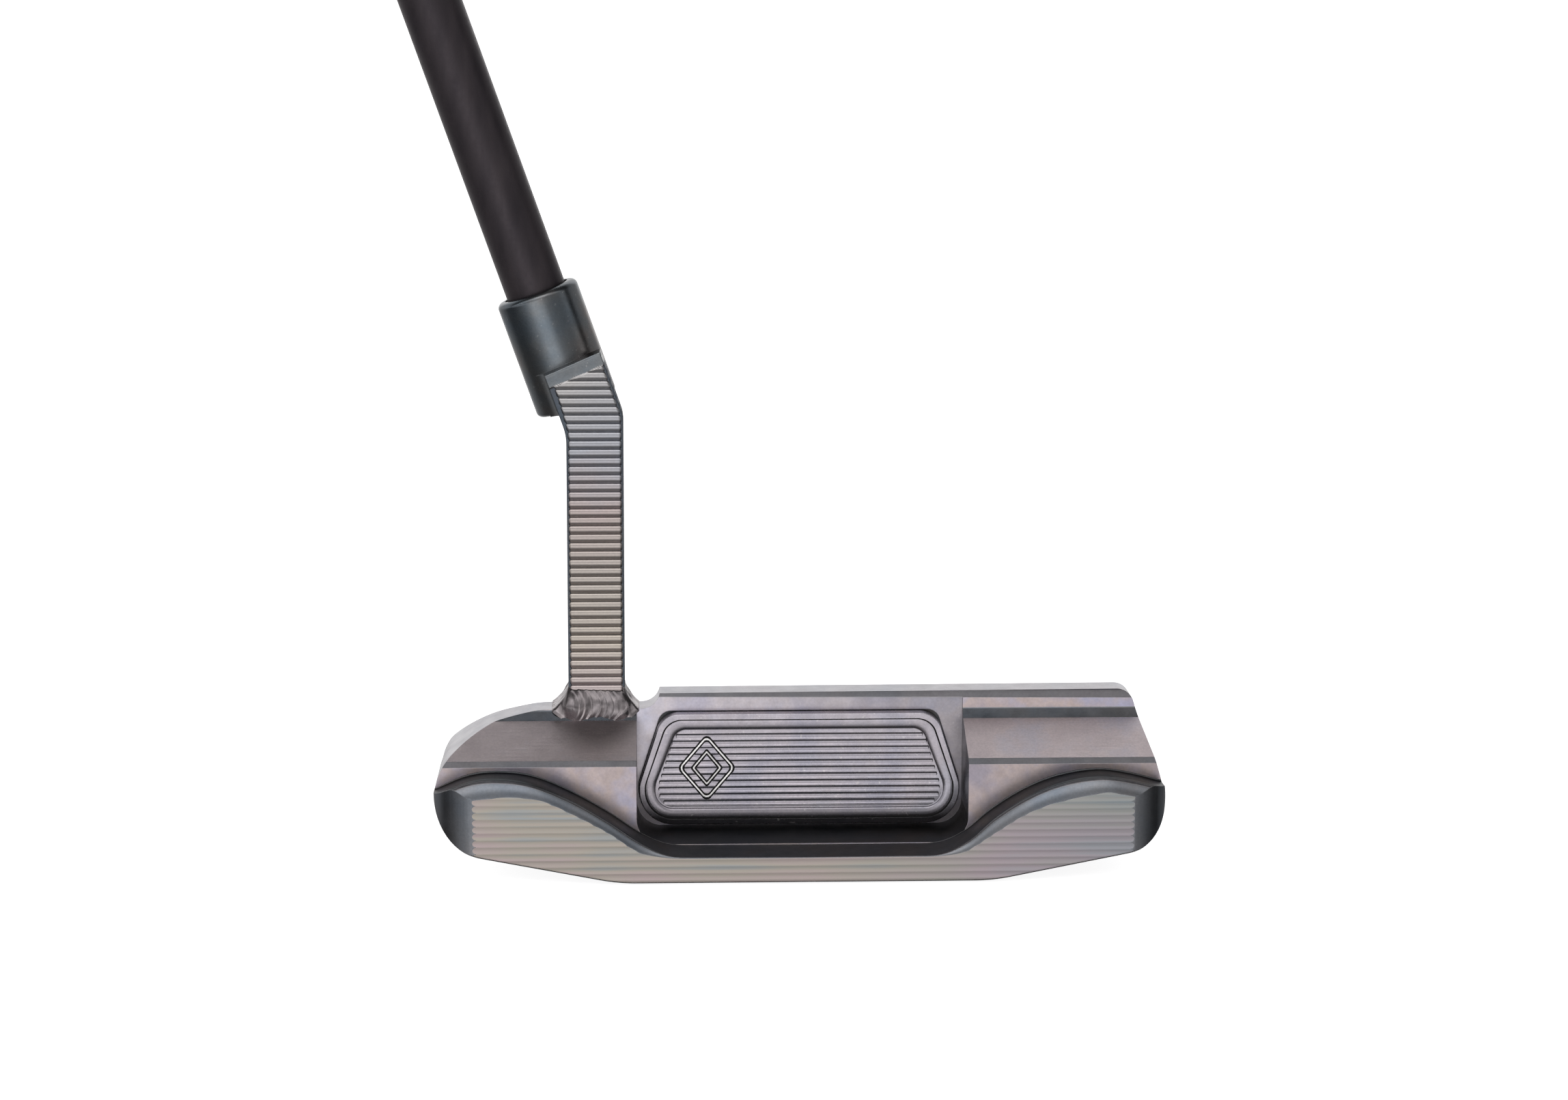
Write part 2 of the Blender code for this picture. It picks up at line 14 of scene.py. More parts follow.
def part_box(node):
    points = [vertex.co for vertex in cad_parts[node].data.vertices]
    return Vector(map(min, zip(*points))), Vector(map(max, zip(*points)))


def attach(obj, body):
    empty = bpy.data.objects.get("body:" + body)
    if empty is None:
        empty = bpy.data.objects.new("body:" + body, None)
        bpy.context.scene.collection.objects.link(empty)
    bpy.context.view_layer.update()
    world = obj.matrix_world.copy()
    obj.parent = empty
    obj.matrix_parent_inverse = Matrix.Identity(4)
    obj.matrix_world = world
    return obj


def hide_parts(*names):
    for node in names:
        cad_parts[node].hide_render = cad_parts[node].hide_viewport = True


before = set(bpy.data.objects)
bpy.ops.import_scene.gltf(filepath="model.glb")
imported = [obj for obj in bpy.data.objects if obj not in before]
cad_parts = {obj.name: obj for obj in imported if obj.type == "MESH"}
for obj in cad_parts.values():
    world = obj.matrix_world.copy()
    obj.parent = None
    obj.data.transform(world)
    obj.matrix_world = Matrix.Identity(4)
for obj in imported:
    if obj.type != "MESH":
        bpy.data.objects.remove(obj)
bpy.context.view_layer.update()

MM = 0.001


def frame_box(node):
    return [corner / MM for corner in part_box(node)]


HEAD_LOW, HEAD_HIGH = frame_box("head_body")
PAD_LOW, PAD_HIGH = frame_box("cavity_pad")

# Blade. CLEAR is a height above all of it, where cutters end.
FACE_Y = 12.25
BLADE_DEPTH = FACE_Y - HEAD_LOW.y
BLADE_HEIGHT = HEAD_HIGH.z
CLEAR = 40.0
HEEL_X = -57.2
TOE_X = 57.1
LOFT = math.radians(3.0)
LAND_HEIGHT = 23.35
TOPLINE_DEPTH = 4.6
CHAMFER = 0.9
CHAMFER_GROWTH = 0.0076
WALL_DEPTH = TOPLINE_DEPTH + CHAMFER
WALL_FOOT = 23.25
WALL_FILLET = (0.12, 0.2)
RAMP_TOP = (6.62, 21.75)
RAMP_FOOT = (16.3, 17.6)
BUMPER_DEPTH = 17.0
BUMPER_BROW = 16.75
VALLEY_STEPS = 7
POCKET = (-25.65, 26.45)
POCKET_FLOOR = 4.2
POCKET_CORNER = 4.0
POCKET_WALL_DEPTH = 5.2
SCALLOPS = 20
SCALLOP_PITCH = 1.1
SCALLOP_DEPTH = 0.028
SOLE_EDGE = 0.2
REAR_CORNERS = (7.0, 6.2)
NOTCH_X = -24.9
NOTCH_RADIUS = 3.0

# Bumper crest where it leaves the blade, and where it rolls over into the rear wall: (x, z)
CREST = (
    (-57.0, 13.6), (-52.0, 15.75), (-47.4, 16.3), (-42.0, 15.6), (-36.0, 13.1), (-30.0, 9.6), (-25.0, 6.2),
    (-21.0, 4.45), (-17.0, 4.12), (17.0, 4.12), (22.0, 4.4), (26.0, 6.3), (30.0, 9.7), (35.0, 12.9),
    (40.0, 15.0), (46.0, 16.05), (51.0, 15.55), (57.0, 14.0),
)
WALL_TOP = (
    (-57.0, 12.2), (-50.5, 13.4), (-45.0, 13.85), (-40.3, 13.2), (-35.7, 11.1), (-30.0, 8.0), (-25.5, 5.0),
    (-22.0, 4.1), (-17.0, 3.9), (17.0, 3.9), (22.0, 4.0), (25.3, 4.6), (29.7, 7.35), (34.4, 10.3),
    (38.7, 12.1), (42.9, 13.1), (47.5, 13.9), (51.4, 13.2), (57.0, 12.0),
)

# Pad. The emblem's lines are given as how much larger each is than the lozenge.
PAD_FACE_DEPTH = FACE_Y - PAD_LOW.y
PAD_BACK_DEPTH = POCKET_WALL_DEPTH + 0.05
FILM_SEAT_DEPTH = FACE_Y - PAD_HIGH.y
PAD_RECESS_DEPTH = POCKET_WALL_DEPTH - 0.3
PAD_X = (PAD_LOW.x + PAD_HIGH.x) / 2
PAD_HALF = (PAD_HIGH.x - PAD_LOW.x) / 2
PAD_BOTTOM = PAD_LOW.z
PAD_TOP = PAD_HIGH.z
PAD_TOP_HALF = 21.9
PAD_SHOULDER = 11.3
PAD_RIM = 2.75
PAD_CLEARANCE = 0.11
PAD_CORNER = 5.5
PAD_FLOOR_DROP = 0.62
RIB_PITCH = 1.081
FIRST_VALLEY = 7.79
VALLEYS = 11
EMBLEM_CENTRE = (-14.5, 13.9)
EMBLEM_LINES = (0.0, -1.7)
EMBLEM_SINK = 1.05

# Neck. "Along" is measured up the shaft axis from the ground line, and "across" from the axis towards the
# toe. The post stands between its two edges in x, and its upper part leans with the shaft, with its toe-side
# edge LEAN_EDGE across. Under the ledge is a plain facet. The ribs end a border short of the post's edges.
AXIS = Vector((-9.8, FACE_Y + 5.0, 0.0))
LEAN = math.radians(19.45)
POST = (-36.45, -27.5)
POST_REAR_DEPTH = 5.4
POST_FOOT = 23.37
POST_TOP = 84.0
LEAN_EDGE = 6.75
LEAN_WIDTH = 9.45
SLEEVE_RADIUS = 6.62
SLEEVE = (75.3, 94.5)
LEDGE = 82.52
LEDGE_TILT = 0.072
SOCKET_FLOOR = 77.2
BORE_RADIUS = 5.25
NECK_RIB_PITCH = 1.355
FIRST_NECK_RIB = 26.6
LEDGE_FACET = 2.05
NECK_BORDER = 0.28
NECK_BORDER_GROWTH = 0.56
RIB_HALF = 0.64
RIB_GROOVE = 0.38
RIB_CROWN = 0.36

# Weld
WELD_TOP = 26.75
WELD_DROP = 1.75
CRESCENT_PITCH = 1.15

# Shaft and grip
SHAFT_RADIUS = 4.8
SHAFT_WALL = 0.6
BUTT_RADIUS = 7.4
SHAFT_TAPER = (200.0, 560.0)
CLUB_LENGTH = 864.0
GRIP_LENGTH = 267.0
GRIP_CAP = 3.0
VENT_RADIUS = 1.6
DIMPLE_PITCH = 3.2
DIMPLE_DEPTH = 0.34

# Grip sections from its mouth to its butt: share of the length, half width, front and palm heights
GRIP_SECTIONS = (
    (0.00, 9.4, 9.2, 9.4), (0.10, 10.0, 9.3, 10.2), (0.30, 10.8, 9.6, 11.2), (0.50, 11.4, 10.0, 12.2),
    (0.68, 11.8, 10.4, 13.6), (0.82, 12.4, 10.8, 16.4), (0.92, 12.8, 11.0, 18.4), (0.985, 12.6, 10.9, 18.2),
    (1.00, 11.8, 10.2, 17.2),
)


# Outlines


def arc(centre, radius, start, end, steps):
    """Points on an arc, with the angles in degrees."""
    angles = [math.radians(start + (end - start) * i / steps) for i in range(steps + 1)]
    return [(centre[0] + radius * math.cos(a), centre[1] + radius * math.sin(a)) for a in angles]


def circle(centre, radius, steps):
    return arc(centre, radius, 0, 360, steps)[:-1]


def rounded(corners, steps):
    """A closed outline through (u, v, radius) corners, each rounded by its own radius."""
    points = []
    for i, (u, v, radius) in enumerate(corners):
        if radius <= 0:
            points.append((u, v))
            continue
        here = Vector((u, v))
        before = (Vector(corners[i - 1][:2]) - here).normalized()
        after = (Vector(corners[(i + 1) % len(corners)][:2]) - here).normalized()
        half = before.angle(after) / 2
        centre = here + (before + after).normalized() * (radius / math.sin(half))
        first = here + before * (radius / math.tan(half)) - centre
        last = here + after * (radius / math.tan(half)) - centre
        for step in range(steps + 1):
            spoke = first.lerp(last, step / steps).normalized() * radius
            points.append((centre.x + spoke.x, centre.y + spoke.y))
    return points


def moved_in(outline, distance):
    """A closed outline that runs anticlockwise, moved inwards."""
    result = []
    for i, (u, v) in enumerate(outline):
        before, after = Vector(outline[i - 1]), Vector(outline[(i + 1) % len(outline)])
        run = (after - before).normalized()
        result.append((u - run.y * distance, v + run.x * distance))
    return result


def smooth_value(points, x):
    """A smooth curve through (x, value) points, level at both ends."""
    x = min(max(x, points[0][0]), points[-1][0])
    last = len(points) - 1
    i = max(k for k in range(last) if points[k][0] <= x)
    slopes = []
    for k in (i, i + 1):
        low, high = points[max(k - 1, 0)], points[min(k + 1, last)]
        slopes.append((high[1] - low[1]) / (high[0] - low[0]))
    (x0, v0), (x1, v1) = points[i], points[i + 1]
    run = x1 - x0
    t = (x - x0) / run
    return (
        (2 * t**3 - 3 * t**2 + 1) * v0
        + (t**3 - 2 * t**2 + t) * run * slopes[0]
        + (3 * t**2 - 2 * t**3) * v1
        + (t**3 - t**2) * run * slopes[1]
    )


def ease(low, high, value):
    t = min(max((value - low) / (high - low), 0.0), 1.0)
    return t * t * (3 - 2 * t)


def on_axis(along, across=0.0):
    """The (x, z) of a place along the shaft axis and across it towards the toe."""
    return (
        AXIS.x - math.sin(LEAN) * along + math.cos(LEAN) * across,
        math.cos(LEAN) * along + math.sin(LEAN) * across,
    )


# Meshes. A placement turns (u, v, w) into a point in millimetres.


def from_behind(u, v, w):
    return (u, FACE_Y - w, v)


def from_side(u, v, w):
    return (w, FACE_Y - u, v)


def from_above(u, v, w):
    return (u, v, w)


def from_axis(u, v, w):
    """Across, towards the rear, and along the shaft axis."""
    x, z = on_axis(w, u)
    return (x, AXIS.y - v, z)


def make_object(name, points, faces, slots=0):
    """A mesh object from points in millimetres; slots is one material slot for all faces or one for each."""
    mesh = bpy.data.meshes.new(name)
    mesh.from_pydata([tuple(c * MM for c in p) for p in points], [], faces)
    indices = slots if isinstance(slots, list) else [slots] * len(faces)
    mesh.polygons.foreach_set("material_index", indices)
    work = bmesh.new()
    work.from_mesh(mesh)
    bmesh.ops.recalc_face_normals(work, faces=work.faces)
    work.to_mesh(mesh)
    work.free()
    obj = bpy.data.objects.new(name, mesh)
    bpy.context.scene.collection.objects.link(obj)
    return obj


def prism(name, outline, low, high, placement, sides=0, caps=0):
    """An outline given a thickness from w = low to w = high."""
    count = len(outline)
    points = [placement(u, v, low) for u, v in outline] + [placement(u, v, high) for u, v in outline]
    faces = [(i, (i + 1) % count, (i + 1) % count + count, i + count) for i in range(count)]
    faces += [tuple(range(count)), tuple(range(count, 2 * count))]
    side_slots = sides if isinstance(sides, list) else [sides] * count
    return make_object(name, points, faces, side_slots + [caps, caps])


def skin(name, rings, caps=True, slots=0):
    """A surface through rings of equal point counts; slots may be one slot for each place round the ring."""
    count = len(rings[0])
    points = [p for ring in rings for p in ring]
    faces = []
    face_slots = []
    for r in range(len(rings) - 1):
        for i in range(count):
            j = (i + 1) % count
            faces.append((r * count + i, r * count + j, (r + 1) * count + j, (r + 1) * count + i))
            face_slots.append(slots[i] if isinstance(slots, list) else slots)
    if caps:
        faces += [tuple(range(count)), tuple(range(len(points) - count, len(points)))]
        face_slots += [face_slots[0], face_slots[-1]]
    return make_object(name, points, faces, face_slots)


def turned(name, profile, segments, slots=0, closed=True):
    """A solid turned about the shaft axis from (radius, along) points; a radius of 0 makes a pole."""
    points = []
    rows = []
    for radius, along in profile:
        ring = circle((0, 0), radius, segments) if radius > 0 else [(0, 0)]
        rows.append([len(points) + i for i in range(len(ring))])
        points += [from_axis(u, v, along) for u, v in ring]
    faces = []
    for low, high in zip(rows, rows[1:] + rows[:1] if closed else rows[1:]):
        for i in range(segments):
            j = (i + 1) % segments
            corners = (low[i % len(low)], low[j % len(low)], high[j % len(high)], high[i % len(high)])
            face = tuple(dict.fromkeys(corners))
            if len(face) > 2:
                faces.append(face)
    return make_object(name, points, faces, slots)


def boolean(obj, cutter, operation="DIFFERENCE"):
    """Adds a cut, which settle applies later."""
    modifier = obj.modifiers.new(cutter.name, "BOOLEAN")
    modifier.operation = operation
    modifier.object = cutter
    modifier.solver = "EXACT"


def settle(obj, materials, sharp):
    """Applies the cuts, drops the cutters, and shades curved stretches smooth with flats kept flat."""
    cutters = [modifier.object for modifier in obj.modifiers]
    for part in (obj, *cutters):
        for material in materials:
            part.data.materials.append(material)
    bpy.context.view_layer.update()
    evaluated = obj.evaluated_get(bpy.context.evaluated_depsgraph_get())
    mesh = bpy.data.meshes.new_from_object(evaluated)
    mesh.name = obj.name
    obj.modifiers.clear()
    obj.data = mesh
    for cutter in cutters:
        bpy.data.objects.remove(cutter, do_unlink=True)
    work = bmesh.new()
    work.from_mesh(mesh)
    bmesh.ops.remove_doubles(work, verts=work.verts, dist=1e-7)
    bmesh.ops.dissolve_degenerate(work, edges=work.edges, dist=1e-7)
    work.to_mesh(mesh)
    work.free()
    dress(obj, materials, sharp)


def dress(obj, materials, sharp):
    """Gives the mesh its materials, and keeps edges sharp from an angle in degrees."""
    if not obj.data.materials:
        for material in materials:
            obj.data.materials.append(material)
    obj.data.shade_smooth()
    obj.data.set_sharp_from_angle(angle=math.radians(sharp))
    weighted = obj.modifiers.new("flats", "WEIGHTED_NORMAL")
    weighted.keep_sharp = True
    weighted.weight = 50


# Materials

# A wave texture at this scale repeats once in each unit of length
WAVE_SCALE = 0.314159


class Nodes:
    """Builds the nodes of a material or a world in short lines."""

    def __init__(self, owner, coordinates="Object"):
        self.owner = owner
        self.tree = owner.node_tree
        self.place = self.new("ShaderNodeTexCoord").outputs[coordinates]

    def new(self, kind, **settings):
        node = self.tree.nodes.new(kind)
        for key, value in settings.items():
            setattr(node, key, value)
        return node

    def feed(self, socket, value):
        if isinstance(value, bpy.types.NodeSocket):
            self.tree.links.new(value, socket)
        else:
            socket.default_value = value

    def axis(self, name):
        """One coordinate of the place."""
        node = self.new("ShaderNodeSeparateXYZ")
        self.feed(node.inputs[0], self.place)
        return node.outputs[name]

    def mapped(self, scale=(1, 1, 1), turn=(0, 0, 0), shift=(0, 0, 0)):
        node = self.new("ShaderNodeMapping")
        self.feed(node.inputs["Vector"], self.place)
        for name, value in (("Scale", scale), ("Rotation", turn), ("Location", shift)):
            self.feed(node.inputs[name], value)
        return node.outputs["Vector"]

    def noise(self, vector, scale, detail=3.0, rough=0.55):
        node = self.new("ShaderNodeTexNoise")
        for name, value in (("Vector", vector), ("Scale", scale), ("Detail", detail), ("Roughness", rough)):
            self.feed(node.inputs[name], value)
        return node.outputs["Fac"]

    def ramp(self, value, stops):
        node = self.new("ShaderNodeValToRGB")
        elements = node.color_ramp.elements
        while len(elements) < len(stops):
            elements.new(0.5)
        for element, (position, color) in zip(elements, stops):
            element.position = position
            red_green_blue = (color,) * 3 if isinstance(color, (int, float)) else color
            element.color = (*red_green_blue, 1.0)
        self.feed(node.inputs["Fac"], value)
        return node.outputs["Color"]

    def mix(self, factor, first, second, kind="MIX"):
        node = self.new("ShaderNodeMix", data_type="RGBA", blend_type=kind)
        self.feed(node.inputs["Factor"], factor)
        for key, value in (("A", first), ("B", second)):
            socket = [s for s in node.inputs if s.name == key and s.type == "RGBA"][0]
            self.feed(socket, (*value, 1.0) if isinstance(value, tuple) and len(value) == 3 else value)
        return [s for s in node.outputs if s.type == "RGBA"][0]

    def graded(self, color, value, stops):
        """The colour times a tone that follows a value."""
        return self.mix(1.0, color, self.ramp(value, stops), "MULTIPLY")

    def grained(self, color, grain, amount, low, high):
        """The colour with part of a fine grain laid over it."""
        return self.mix(amount, color, self.graded(color, grain, ((0.3, low), (0.7, high))))

    def maths(self, operation, *values):
        node = self.new("ShaderNodeMath", operation=operation)
        for socket, value in zip(node.inputs, values):
            self.feed(socket, value)
        return node.outputs[0]

    def wave(self, place, pitch, **settings):
        """A 0 to 1 wave of bands or rings, with the pitch in millimetres."""
        node = self.new("ShaderNodeTexWave", **settings)
        self.feed(node.inputs["Vector"], place)
        node.inputs["Scale"].default_value = WAVE_SCALE / (pitch * MM)
        return node.outputs["Fac"]

    def bump(self, height, distance, normal=None):
        node = self.new("ShaderNodeBump")
        node.inputs["Distance"].default_value = distance * MM
        self.feed(node.inputs["Height"], height)
        if normal:
            self.feed(node.inputs["Normal"], normal)
        return node.outputs["Normal"]

    def eased_edges(self, radius):
        node = self.new("ShaderNodeBevel", samples=4)
        node.inputs["Radius"].default_value = radius * MM
        return node.outputs["Normal"]

    def edge_wear_and_highlight(self, eased):
        """How far the eased normal leans away from the true one: bright along edges, both as wear and as a
        painted highlight where light catches them.
        """
        geometry = self.new("ShaderNodeNewGeometry")
        node = self.new("ShaderNodeVectorMath", operation="DOT_PRODUCT")
        self.feed(node.inputs[0], eased)
        self.feed(node.inputs[1], geometry.outputs["Normal"])
        return self.ramp(node.outputs["Value"], ((0.80, 1.0), (0.985, 0.0)))

    def finish(self, color, rough, normal, metallic=1.0, sheen=1.0):
        """Feeds the material's shader; sheen is the tint at glancing angles."""
        shader = self.tree.nodes["Principled BSDF"]
        values = (("Base Color", color), ("Metallic", metallic), ("Roughness", rough), ("Normal", normal))
        for name, value in (*values, ("Specular Tint", (sheen, sheen, sheen, 1.0))):
            self.feed(shader.inputs[name], value)
        return self.owner


def material_nodes(name):
    material = bpy.data.materials.new(name)
    material.use_nodes = True
    return Nodes(material)


def steel(
    name, tones, rough, edge=0.12, wear_and_edge_highlight=0.35, grain=0.004, milling=(), mottle=90, specks=0.0, sheen=1.0,
    grades=(),
):
    """Oil-blackened steel: three tones that drift over the surface, a fine grain, and edges lightened both as
    wear and as a painted highlight.

    milling is the (pitch, depth) of cutter lines that run from heel to toe, in millimetres; each grade is
    (axis or place, scale, stops): a tone that changes along the axis or away from the place.
    """
    n = material_nodes(name)
    drift = n.noise(n.place, mottle, 4.0, 0.6)
    fine = n.noise(n.place, 2600, 2.0, 0.6)
    color = n.ramp(drift, ((0.34, tones[0]), (0.5, tones[1]), (0.66, tones[2])))
    color = n.grained(color, fine, 0.25, 0.75, 1.25)
    for source, scale, stops in grades:
        if source in ("X", "Z"):
            value = n.axis(source)
        else:
            node = n.new("ShaderNodeVectorMath", operation="DISTANCE")
            n.feed(node.inputs[0], n.place)
            node.inputs[1].default_value = source
            value = node.outputs["Value"]
        color = n.graded(color, n.maths("MULTIPLY_ADD", value, scale, 0.5), stops)
    eased = n.eased_edges(edge)
    # Edges are mixed towards pale grey: partly wear, partly a painted highlight where light catches the
    # rounded edges.
    color = n.mix(n.maths("MULTIPLY", n.edge_wear_and_highlight(eased), wear_and_edge_highlight), color, (0.80, 0.79, 0.80))
    if specks:
        spots = n.ramp(n.noise(n.place, 1500, 1.0, 0.5), ((0.70, 0.0), (0.76, 1.0)))
        color = n.mix(n.maths("MULTIPLY", spots, specks), color, (0.85, 0.83, 0.80))
    normal = n.bump(fine, grain, eased)
    if milling:
        pitch, depth = milling
        lines = n.wave(n.place, pitch, wave_type="BANDS", bands_direction="Y")
        normal = n.bump(lines, depth, normal)
    roughness = n.ramp(n.noise(n.place, 420, 3.0), ((0.3, rough - 0.04), (0.7, rough + 0.05)))
    return n.finish(color, roughness, normal, sheen=sheen)


def striped_steel():
    """The scalloped rear wall: warm and cool tints that run in bands along the cuts."""
    n = material_nodes("scalloped_steel")
    drift = n.noise(n.mapped((16.0, 1.0, 30.0)), 1.6, 2.0, 0.5)
    rows = n.noise(n.mapped((6.0, 1.0, 420.0)), 1.4, 3.0, 0.6)
    tint = n.maths("ADD", n.maths("MULTIPLY", rows, 0.35), n.maths("MULTIPLY", drift, 0.65))
    tones = (
        (0.34, (0.29, 0.37, 0.44)), (0.44, (0.45, 0.415, 0.365)), (0.54, (0.49, 0.385, 0.41)),
        (0.66, (0.35, 0.41, 0.425)),
    )
    bands = n.ramp(tint, tones)
    toward_toe = n.ramp(n.maths("MULTIPLY", n.axis("X"), 1 / 0.060), ((0.05, 0.0), (0.75, 0.65)))
    color = n.mix(toward_toe, bands, n.mix(0.55, bands, (0.28, 0.36, 0.42)))
    eased = n.eased_edges(0.28)
    # Edges are mixed slightly towards pale grey: partly wear, partly a painted highlight.
    color = n.mix(n.maths("MULTIPLY", n.edge_wear_and_highlight(eased), 0.1), color, (0.75, 0.74, 0.72))
    fine = n.noise(n.mapped((0.08, 1.0, 1.0)), 2600, 2.0)
    return n.finish(color, 0.36, n.bump(fine, 0.004, eased))


def ribbed_steel():
    """The neck's ribs: rosy at the foot, then olive, brown, blue grey and a plain light grey at the top."""
    n = material_nodes("ribbed_neck_steel")
    drift = n.maths("MULTIPLY", n.noise(n.place, 60, 3.0), 0.25)
    tones = (
        (0.36, (0.51, 0.44, 0.45)), (0.46, (0.51, 0.46, 0.41)), (0.56, (0.47, 0.43, 0.40)),
        (0.66, (0.48, 0.41, 0.40)), (0.76, (0.40, 0.41, 0.45)), (0.90, (0.47, 0.455, 0.45)),
    )
    color = n.ramp(n.maths("MULTIPLY_ADD", n.axis("Z"), 10, drift), tones)
    fine = n.noise(n.place, 2600, 2.0, 0.6)
    return n.finish(n.grained(color, fine, 0.3, 0.8, 1.2), 0.28, n.bump(fine, 0.004, n.eased_edges(0.06)))


def face_steel():
    """The striking face: deep milled arcs that sweep over it."""
    n = material_nodes("milled_face_steel")
    arcs = n.wave(n.mapped(shift=(0.0, 0.0, 0.075)), 1.2, wave_type="RINGS", rings_direction="Y")
    color = n.ramp(n.noise(n.place, 70, 3.0), ((0.35, (0.36, 0.34, 0.36)), (0.65, (0.44, 0.41, 0.40))))
    return n.finish(color, 0.34, n.bump(arcs, 0.12, n.eased_edges(0.15)))


def shaft_black():
    n = material_nodes("satin_black_shaft")
    drift = n.noise(n.mapped((1, 1, 0.2), (0, LEAN, 0)), 300, 3.0)
    color = n.ramp(drift, ((0.3, (0.040, 0.034, 0.040)), (0.7, (0.062, 0.052, 0.058))))
    rough = n.ramp(n.noise(n.place, 1400, 2.0), ((0.3, 0.36), (0.7, 0.46)))
    return n.finish(color, rough, n.bump(n.noise(n.place, 3000, 2.0), 0.006), metallic=0.75)


def rubber(name, color, rough=0.72):
    n = material_nodes(name)
    pale = tuple(min(c * 1.7 + 0.004, 1.0) for c in color)
    mottled = n.ramp(n.noise(n.place, 500, 4.0), ((0.35, color), (0.7, pale)))
    roughness = n.ramp(n.noise(n.place, 900, 2.0), ((0.3, rough - 0.08), (0.7, rough + 0.1)))
    return n.finish(mottled, roughness, n.bump(n.noise(n.place, 3200, 3.0), 0.02), metallic=0.0)


# Head

SATIN, RAMP, POLISHED, STRIPED, TOP, FACE, BROWN, DARK = range(8)


def head_materials():
    satin = ((0.44, 0.42, 0.49), (0.52, 0.48, 0.51), (0.47, 0.46, 0.54))
    ramp = ((0.60, 0.535, 0.555), (0.66, 0.59, 0.605), (0.61, 0.575, 0.625))
    polished = ((0.15, 0.17, 0.20), (0.18, 0.19, 0.21), (0.19, 0.19, 0.20))
    top = ((0.32, 0.325, 0.36), (0.36, 0.355, 0.38), (0.38, 0.365, 0.39))
    brown = ((0.43, 0.39, 0.45), (0.57, 0.48, 0.47), (0.48, 0.47, 0.60))
    # Painted light: the ramp grows lighter towards the toe, where more light falls on it.
    toe_painted_light = ("X", 10, ((0.15, 0.82), (0.75, 1.28)))
    toe_darker = ("X", 10, ((0.2, 1.36), (0.85, 0.68)))
    # Painted shadow: the ramp darkens close to the weld, where the weld shades it and is mirrored in it.
    weld_painted_shadow = ((-0.032, 0.001 * (FACE_Y - 7.5), 0.0215), 50, ((0.66, 0.5), (0.90, 1.0)))
    # Painted shade: a darkened copy of the steel for the pocket, the pad's recess, the bumper valleys and the
    # rear edge band, which lie in shade.
    dark = ((0.070, 0.077, 0.084), (0.085, 0.089, 0.094), (0.097, 0.089, 0.085))
    return [
        steel("satin_blade_steel", satin, 0.34, wear_and_edge_highlight=0.3, specks=0.12, grades=[toe_darker]),
        steel("ramp_steel", ramp, 0.56, milling=(0.32, 0.012), grades=[toe_painted_light, weld_painted_shadow]),
        steel("polished_roll_steel", polished, 0.22, wear_and_edge_highlight=0.5, grain=0.001, sheen=0.6),
        striped_steel(),
        steel("top_line_steel", top, 0.32, wear_and_edge_highlight=0.4, grain=0.002),
        face_steel(),
        steel("brown_blade_steel", brown, 0.36, wear_and_edge_highlight=0.3, specks=0.12),
        steel("painted_shade_steel", dark, 0.34, wear_and_edge_highlight=0.9, grain=0.001, sheen=0.55),
    ]


def blade_outline():
    """The blade seen from behind, from the sole round the toe and over the top line to the heel."""
    steps = 16
    corners = (
        (-28.5, 0.0, 30),
        (29.7, 0.0, 30),
        (TOE_X, 5.4, 7.8),
        (TOE_X, 13.2, 9),
        (53.3, BLADE_HEIGHT, 2.6),
        (NOTCH_X + 2.9, BLADE_HEIGHT, 0.0),
        (NOTCH_X, LAND_HEIGHT, 0.0),
        (HEEL_X, LAND_HEIGHT, 0.0),
        (HEEL_X, 5.6, 9.4),
    )
    outline = rounded(corners, steps)
    sole_and_toe = outline[: 5 * (steps + 1)]
    heel_corner = outline[-(steps + 1) :]
    notch = arc((NOTCH_X, LAND_HEIGHT + NOTCH_RADIUS), NOTCH_RADIUS, -11.5, -90, 14)
    heel_shoulder = (
        (-39.5, LAND_HEIGHT), (-42.3, 23.1), (-47.3, 22.0), (-50.2, 20.9), (-52.5, 19.7), (-54.3, 18.5),
        (-55.5, 17.4), (-56.4, 15.8), (-56.9, 14.2),
    )
    return sole_and_toe + notch + refined(heel_shoulder, 4) + heel_corner


def refined(points, steps):
    """A smooth curve through points, with steps between each two."""
    result = []
    for i in range(len(points) - 1):
        p0, p1, p2, p3 = (Vector(points[min(max(k, 0), len(points) - 1)]) for k in (i - 1, i, i + 1, i + 2))
        for step in range(steps):
            t = step / steps
            q = 2 * p1 + (p2 - p0) * t + (2 * p0 - 5 * p1 + 4 * p2 - p3) * t * t
            q += (3 * p1 - p0 - 3 * p2 + p3) * t**3
            result.append((q.x / 2, q.y / 2))
    return result + [points[-1]]


